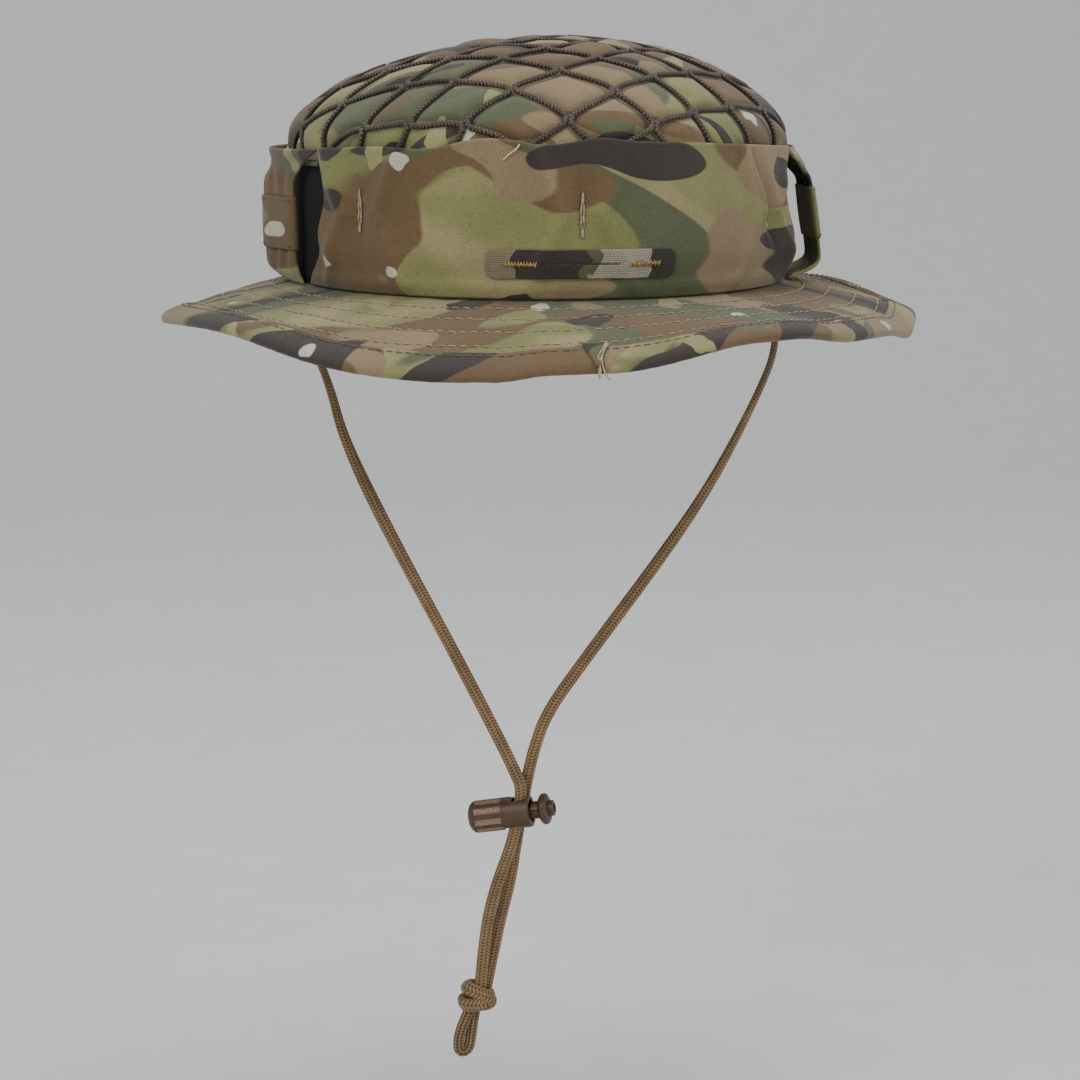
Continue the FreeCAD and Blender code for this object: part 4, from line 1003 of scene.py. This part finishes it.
plies = {"brim_upper": (0.0, 0.0006, 760, 62, (0.2, 0.48)),
         "brim_interlining": (0.00065, 0.00165, 240, 16, None),
         "brim_lower": (0.0017, 0.0023, 700, 52, (0.61, 0.12))}
for cad_node, (top, bottom, columns, rows, shift) in plies.items():
    middle, place = brim_grid(top, bottom, columns, rows)
    ply = cloth_piece(cad_node + "_cloth", middle[:, ::-1], bottom - top, place[:, ::-1], wrap=True)
    fit(ply, "hat", cad_node,
        printed_cloth(cad_node + "_camouflage", shift) if shift else lining)


def binding_grid(columns=800):
    """A tape folded round the edge: over the top, round the nose and back underneath,
    puckered a little along its own stitching."""
    profile = np.array([(0.0398, 0.0002), (0.0402, 0.00062), (0.0425, 0.0006),
                        (0.0452, 0.00066), (0.0474, 0.00055),
                        (0.0487, 0.0001), (0.0494, -0.0009), (0.0492, -0.0020), (0.0484, -0.0028),
                        (0.0470, -0.0031), (0.0450, -0.0032), (0.0425, -0.0031),
                        (0.0402, -0.0031), (0.0398, -0.0026)])
    weights = control_weights(len(profile), np.linspace(0, 1, 34))
    reach, height = weights @ profile[:, 0], weights @ profile[:, 1]
    angle = np.linspace(0, 360, columns + 1)[:, None]
    pucker = np.sin(np.radians(angle) * 128) * np.sin(np.radians(angle) * 37 + 1)
    swell = 0.00012 * pucker * hump(reach, 0.045, 0.004)[None]
    groove = 0.00022 * hump(reach, 0.0417, 0.0006)[None]
    under = np.sign(height - (-0.0012))[None]
    points = brim_point(angle, reach[None] * np.ones_like(angle)) + 0.0
    points[..., 2] += height[None] + under * (swell - groove)
    run = np.concatenate([[0], np.cumsum(np.hypot(np.diff(reach), np.diff(height)))])
    return points, np.stack([np.radians(angle) * 0.142 * np.ones_like(points[..., 0]),
                             run[None] * np.ones_like(points[..., 0])], -1)


middle, place = binding_grid()
binding = cloth_piece("brim_binding_tape", middle[:-1, ::-1], 0.0006, place[:, ::-1], wrap=True)
fit(binding, "hat", "brim_binding", printed_cloth("binding_camouflage", (0.15, 0.9), *BIAS))

# --- Stitching --------------------------------------------------------------------------------
# Lockstitch in tan thread along the brim, darker thread along the binding and in the
# sleeves' rows. The same bent tubes make the tacks and bartacks further down.


def thread_finish(name, dark, light):
    """Twisted sewing thread: two tones that wind along each stitch."""
    material, tree, _ = shader(name, 0.6, 0.2)
    place = object_place(tree)
    wound = noise(tree, place, 1500.0, Detail=2.0)
    return dress(material, ramp(tree, wound, [(0.35, dark), (0.65, light)]), wound, 0.4, 0.0001)


def stitches(name, starts, ends, outward, radius, bow, finish, body="hat"):
    """A row of stitches. Each is a bent tube of six rings: its line runs from start to end
    and rises by bow times the sine of the share, and its radius swells from each end."""
    share = np.linspace(0, 1, 6)
    arch = np.sin(math.pi * share)
    line = (starts[:, None] * (1 - share)[None, :, None] + ends[:, None] * share[None, :, None]
            + outward[:, None] * (bow * arch)[None, :, None])
    along = unit(ends - starts)
    side = unit(np.cross(along, outward))
    turn = np.arange(5) * 2 * math.pi / 5
    swell = radius * (0.35 + 0.65 * arch ** 0.5)
    ring = (side[:, None, None] * np.cos(turn)[None, None, :, None]
            + outward[:, None, None] * np.sin(turn)[None, None, :, None]) * swell[None, :, None, None]
    points = (line[:, :, None] + ring).reshape(-1, 3)
    quads = tube_faces(5, 5)[2]
    base = (np.arange(len(starts)) * 30)[:, None, None]
    faces = (quads[None] + base).reshape(-1, 4).tolist()
    caps = np.stack([np.arange(5), 29 - np.arange(5)])
    faces += (caps[None] + base).reshape(-1, 5).tolist()
    row_of_thread = surface_object(name, points, faces)
    fit(row_of_thread, body, None, finish)
    return row_of_thread


def brim_row(reach, pitch, gap, lift):
    """Ends of the stitches of one row round the brim, an even pitch apart, and the way up."""
    fine = np.linspace(0, 360, 4001)
    line = brim_point(fine, np.full(4001, reach))
    run = run_of(line)
    marks = np.arange(0, run[-1] - pitch, pitch)
    marks = marks + 0.0002 * np.sin(marks * 900)
    wander = reach + 0.00025 * np.sin(marks * 55 + reach * 900)
    first, last = np.interp(marks, run, fine), np.interp(marks + pitch - gap, run, fine)
    starts, ends = brim_point(first, wander), brim_point(last, wander)
    inner, outer = brim_point(first, wander - 0.001), brim_point(first, wander + 0.001)
    up = unit(np.cross(ends - starts, outer - inner))
    up = up * np.sign(up[:, 2:])
    return starts + up * lift, ends + up * lift, up


tan_thread = thread_finish("tan_thread", linear(134, 112, 90), linear(194, 168, 140))
mustard_thread = thread_finish("mustard_thread", linear(112, 90, 42), linear(190, 152, 78))
brown_thread = thread_finish("brown_thread", linear(58, 46, 32), linear(104, 84, 60))
binding_thread = thread_finish("binding_thread", linear(78, 64, 38), linear(138, 114, 66))
for number, reach in enumerate(STITCH_ROWS):
    starts, ends, up = brim_row(reach, 0.0038, 0.0007, 0.00006)
    stitches("brim_stitch_row_%d" % (number + 1), starts, ends, up, 0.00027, 0.00026, tan_thread)
starts, ends, up = brim_row(0.0418, 0.0034, 0.0008, 0.00085)
stitches("binding_stitch_row", starts, ends, up, 0.00022, 0.00018, binding_thread)

for side, facts in LOOP_FACTS.items():
    origin, out, rear, rise = strap_frame(facts)
    for edge, along in (("foot", facts["keeper"] + 1.3), ("top", facts["keeper"] + 17.2)):
        u = np.arange(-12.6, 12.0, 2.6)
        centre = origin + rise * along + out * 2.25
        starts, ends = (centre + rear * u[:, None]) / 1000, (centre + rear * (u[:, None] + 1.9)) / 1000
        stitches("keeper_%s_stitches_%s" % (edge, side), starts, ends, np.tile(out, (len(u), 1)),
                 0.00022, 0.00012, brown_thread, body="keeper_" + side)

# --- Tacks in the band --------------------------------------------------------------------
# Three columns of heavy doubled thread in each half of the band, sewn by hand through the
# band and the crown wall behind it. They part the band into loops for foliage.
for name, facing in (("front", 0.0), ("rear", 180.0)):
    starts, ends = [], []
    for turn in (-50.0, 0.0, 50.0):
        low = 0.0200 + 0.0036 * np.arange(4)
        for shift, cross in ((-0.00036, 0.00030), (0.00036, -0.00024)):
            jitter = 0.0003 * np.sin(low * 2100 + turn + shift * 4000)
            first, last = (shift + jitter) / BAND_RADIUS, (shift + cross + jitter) / BAND_RADIUS
            for block, sway, height in ((starts, first, low), (ends, last, low + 0.0044)):
                lean = 250 * (0.022 - height) if facing + turn == 50 else 0.0
                at = facing + turn + np.degrees(sway) + lean
                block.append(band_point(at, band_share(at, height), 0.00085))
    starts, ends = np.concatenate(starts), np.concatenate(ends)
    out = unit((starts + ends) * [1, 1, 0])
    tacks = stitches(name + "_tack_thread", starts, ends, out, 0.00036, 0.00030, tan_thread)
    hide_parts(name + "_band_tacks")

# --- Front tab ----------------------------------------------------------------------------
# A short strip of printed webbing with rounded corners, a slit along its middle for a
# badge or a light, and a bartack of mustard thread near each end.
TAB_HEIGHT = 0.0118            # of its middle line above the seam
BAND_HALF_WIDTH = 0.08985      # half the band's width across the front


def on_band(across, height, raised):
    """A point over the band: how far across from its middle, and its height, in metres."""
    angle = np.degrees(np.arcsin(across / BAND_HALF_WIDTH))
    return band_point(angle, band_share(angle, height), raised)


def webbing_group():
    """Webbing over places on it in millimetres: rows of slanted picks, where a sine of the
    length plus a part of the width is cut by the gaps between the rows."""
    group, start, end = node_group("webbing_picks", {"Place": "Vector"}, {"Height": "Float"})
    axes = node(group, "ShaderNodeSeparateXYZ", {0: start.outputs["Place"]}).outputs
    row = maths(group, "MULTIPLY", axes[1], math.pi / 0.62)
    rows = maths(group, "ABSOLUTE", maths(group, "SINE", row))
    lean = maths(group, "MULTIPLY_ADD", axes[1], 0.85, axes[0])
    turn = maths(group, "MULTIPLY", lean, 2 * math.pi / 0.9)
    picks = maths(group, "MULTIPLY_ADD", maths(group, "SINE", turn), 0.5, 0.5)
    height = maths(group, "MULTIPLY", rows, picks)
    group.links.new(height, end.inputs["Height"])
    return group


webbing_picks = webbing_group()


def printed_webbing(name, fields):
    """Printed nylon webbing, with painted shade in the gaps between the picks and painted
    highlight on their tops. The print changes along the strip: each field is the place
    where it starts, in millimetres, and its colour."""
    material, tree, _ = shader(name, 0.72, 0.15)
    flat = flat_place(tree)
    bend = noise(tree, flat, 0.11, Detail=1.0)
    along = node(tree, "ShaderNodeSeparateXYZ", {0: flat}).outputs[0]
    along = maths(tree, "MULTIPLY_ADD", bend, 16.0, along)
    share = mapped(tree, along, -32.0, 48.0)
    stops = [((place + 40.0) / 80.0, colour) for place, colour in fields]
    stops = [stops[0]] + [stop for before, after in zip(stops, stops[1:])
                          for stop in ((after[0] - 0.004, before[1]), after)]
    colour = ramp(tree, share, stops)
    picks = node(tree, "ShaderNodeGroup", {}, node_tree=webbing_picks)
    tree.links.new(flat, picks.inputs["Place"])
    # painted shade and highlight: the picks' height takes the colour from half in the gaps to 1.6 times on the
    # tops
    shade = ramp(tree, picks.outputs["Height"], [(0.05, (0.50, 0.48, 0.46, 1)), (0.7, (1.6, 1.57, 1.54, 1))])
    return dress(material, mixed(tree, 1.0, colour, shade, "MULTIPLY"), picks.outputs["Height"], 0.9, 0.0003)


def rounded_bar(columns):
    """The outline of a bar with rounded corners, at even steps of its length, in metres."""
    half_long, half_high, corner = 0.031, 0.00475, 0.0028
    quarter = np.linspace(0, math.pi / 2, 24)
    turn = np.concatenate([quarter + k * math.pi / 2 for k in range(4)])
    side_x = np.repeat([1, -1, -1, 1], 24) * (half_long - corner)
    side_z = np.repeat([1, 1, -1, -1], 24) * (half_high - corner)
    outline = np.stack([side_x + corner * np.cos(turn), side_z + corner * np.sin(turn)], -1)
    outline = np.concatenate([outline, outline[:1]])
    run = run_of(outline)
    at = np.linspace(0, run[-1], columns + 1)
    return np.stack([np.interp(at, run, outline[:, 0]), np.interp(at, run, outline[:, 1])], -1)


outline = rounded_bar(400)
spread = np.linspace(0, 1, 26)[None, :]
tab_x = outline[:, :1] * (12 / 31 + (1 - 12 / 31) * spread)
tab_z = outline[:, 1:] * (0.06 + 0.94 * spread)
middle = on_band(tab_x, TAB_HEIGHT + tab_z, 0.00118)
tab = cloth_piece("front_tab_webbing", middle[:-1], 0.0010, np.stack([tab_x, tab_z], -1), wrap=True)
tab.data.materials.append(printed_webbing("front_tab_webbing", [
    (-40.0, linear(136, 122, 98)), (-20.0, linear(54, 47, 42)), (1.0, linear(92, 92, 62)),
    (5.0, linear(166, 161, 142)), (21.0, linear(56, 49, 44))]))
fit(tab, "hat", "front_tab")
bartack_starts, bartack_ends = [], []
for middle_x in (-0.020, 0.020):
    x = middle_x + np.linspace(-0.0050, 0.0046, 21)
    up = np.where(np.arange(21) % 2 == 0, 1.0, -1.0) * (0.00085 + 0.00025 * np.sin(np.arange(21) * 2.3))
    for block, at_x, at_z in ((bartack_starts, x, -up), (bartack_ends, x + 0.00055, up)):
        block.append(on_band(at_x, TAB_HEIGHT + at_z, 0.00185))
starts, ends = np.concatenate(bartack_starts), np.concatenate(bartack_ends)
bartacks = stitches("front_tab_bartacks", starts, ends, unit((starts + ends) * [1, 1, 0]), 0.00029, 0.00034,
                    mustard_thread)
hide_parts("tab_bartacks")

# --- Cord anchors -------------------------------------------------------------------------
# A short piece of webbing folded double under each side of the brim, with the end of the
# cord caught in its fold and the whole sewn through.
for side, sign in (("left", -1.0), ("right", 1.0)):
    bend = np.linspace(0, math.pi, 17)
    fold_x = np.concatenate([[0.00105] * 9, 0.00105 * np.cos(bend), [-0.00105] * 9])
    fold_z = np.concatenate([np.linspace(-0.0031, -0.0090, 9), -0.0092 - 0.00095 * np.sin(bend),
                             np.linspace(-0.0090, -0.0031, 9)])
    y = np.linspace(-0.0150, -0.0050, 24)[:, None]
    bulge = 1 + 0.25 * hump(y, -0.010, 0.002) * (fold_z < -0.0060)[None]
    middle = np.stack([sign * 0.087 + fold_x[None] * bulge, y * np.ones_like(fold_x),
                       fold_z[None] * np.ones_like(y)], -1)
    run = np.concatenate([[0], np.cumsum(np.hypot(np.diff(fold_x), np.diff(fold_z)))])
    place = np.stack([y * np.ones_like(fold_x), run[None] * np.ones_like(y)], -1)
    anchor = cloth_piece("cord_anchor_webbing_" + side, middle, 0.0011, place)
    anchor.data.materials.append(printed_webbing("anchor_webbing_" + side, [
        (-40.0, linear(104, 84, 58)), (-2.0, linear(120, 116, 78)), (12.0, linear(84, 92, 60))]))
    fit(anchor, "hat", "cord_anchor_" + side)
    y = np.arange(-0.0142, -0.0070, 0.0026)
    starts = np.stack([np.full_like(y, sign * 0.0887), y, np.full_like(y, -0.0052)], -1)
    stitches("cord_anchor_stitches_" + side, starts, starts + [0, 0.0020, 0],
             np.tile([sign, 0.0, 0.0], (len(y), 1)), 0.00024, 0.00010, tan_thread)

# --- Binding's join and loose threads --------------------------------------------------------
# The binding's last end is folded to a point over its first, at the middle of the front,
# and the threads that closed it were left long. One pale thread lies over the band's edge.
pale_thread = thread_finish("pale_thread", linear(176, 174, 160), linear(224, 222, 210))
across, outward = np.meshgrid(np.linspace(0, 1, 22), np.linspace(0, 1, 26), indexing="ij")
left_edge, right_edge = -2.7 + 1.45 * outward, 1.1 - 2.05 * outward
angle = left_edge * (1 - across) + right_edge * across
reach = (0.0398 + 0.0006 * across) * (1 - outward) + 0.0506 * outward
middle = brim_point(angle, reach, -(0.00125 + 0.0004 * np.sin(math.pi * across) + 0.0012 * outward ** 3))
middle[..., 2] -= 0.0016 * outward ** 4
flap = cloth_piece("binding_end", middle, 0.0006, np.stack([across * 0.009, outward * 0.010], -1))
fit(flap, "hat", None, printed_cloth("binding_end_camouflage", (0.19, 0.93), *BIAS))


def smooth_thread(length, turn):
    """Fine twisted thread: a slight ridge that winds round it."""
    ridge = 0.5 + 0.5 * np.sin(2 * math.pi * length / 0.0011 + turn)
    return 0.00003 * ridge, ridge


for number, ends in enumerate([
        [(0.9, 0.0400, 0.0020), (0.2, 0.0450, 0.0024), (-0.8, 0.0492, 0.0020), (-1.0, 0.0515, -0.0016)],
        [(1.0, 0.0412, 0.0019), (-0.2, 0.0462, 0.0028), (-0.5, 0.0498, 0.0014),
         (-0.1, 0.0520, -0.0012), (0.4, 0.0528, -0.0018)],
        [(0.7, 0.0408, 0.0021), (-0.3, 0.0455, 0.0022), (-1.0, 0.0480, 0.0022),
         (-0.6, 0.0510, -0.0004), (-0.9, 0.0518, -0.0022)]]):
    at = np.array(ends)
    line = even_points(hanging_line("loose_line", brim_point(at[:, 0], at[:, 1], -at[:, 2]).tolist()), 0.0003)
    loose = strand("binding_loose_thread_%d" % (number + 1), line, (0.0, -1.0, 0.3), 0.00056, 0.00056,
                   smooth_thread, 8, 0.0, tan_thread)
    fit(loose, "hat")
at = np.array([(-12.9, 0.0506, 0.0012), (-13.6, 0.0490, 0.0016),
               (-15.2, 0.0474, 0.0012), (-16.3, 0.0455, 0.0009)])
share = band_share(at[:, 0], at[:, 1])
line = even_points(hanging_line("pale_line", band_point(at[:, 0], share, at[:, 2]).tolist()), 0.0003)
loose = strand("band_loose_thread", line, (0.0, -1.0, 0.3), 0.00050, 0.00050, smooth_thread, 8, 0.0,
               pale_thread)
fit(loose, "hat")

# --- Floor and light -------------------------------------------------------------------------
# A pale sweep of paper below and behind the hat, with a large soft lamp to each side, one
# above and a weak fill from the front.


def paper_sweep():
    """A floor that curves up into a wall: a quarter circle between two flats."""
    turn = np.linspace(0, math.pi / 2, 40)
    y = np.concatenate([[-4.0], 1.6 + 1.2 * np.sin(turn), [2.8]])
    z = np.concatenate([[0.0], 1.2 - 1.2 * np.cos(turn), [4.0]]) - 0.34
    points = np.stack([np.outer([-4.0, 4.0], np.ones_like(y)), np.outer([1, 1], y), np.outer([1, 1], z)], -1)
    k = np.arange(len(y) - 1)
    faces = np.stack([k, k + len(y), k + len(y) + 1, k + 1], -1)
    return surface_object("paper_sweep", points.reshape(-1, 3), faces.tolist())


sweep = paper_sweep()
paper, tree, surface = shader("pale_paper", 0.9)
fibre = noise(tree, object_place(tree), 40.0, Detail=3.0)
tree.links.new(ramp(tree, fibre, [(0.3, (0.79, 0.79, 0.785, 1)), (0.7, (0.82, 0.82, 0.815, 1))]),
               surface.inputs["Base Color"])
sweep.data.materials.append(paper)
for name, place, size, power in (
        ("lamp_left", (-1.5, -1.5, 1.5), 1.2, 26.0), ("lamp_right", (1.7, -1.0, 1.3), 1.2, 18.0),
        ("lamp_top", (0.1, 0.2, 2.0), 1.4, 20.0), ("fill", (-0.3, -2.4, 0.2), 1.6, 7.0)):
    lamp = bpy.data.lights.new(name, "AREA")
    lamp.size, lamp.energy = size, power
    holder = bpy.data.objects.new(name, lamp)
    holder.location = place
    toward = -np.array(place) / np.linalg.norm(place)
    holder.rotation_euler = (math.acos(-toward[2]), 0.0, math.atan2(toward[0], -toward[1]) + math.pi)
    bpy.context.scene.collection.objects.link(holder)
world = bpy.data.worlds.new("room")
world.use_nodes = True
world.node_tree.nodes["Background"].inputs[0].default_value = (0.93, 0.96, 1.0, 1.0)
world.node_tree.nodes["Background"].inputs[1].default_value = 0.35
bpy.context.scene.world = world

bpy.context.view_layer.update()
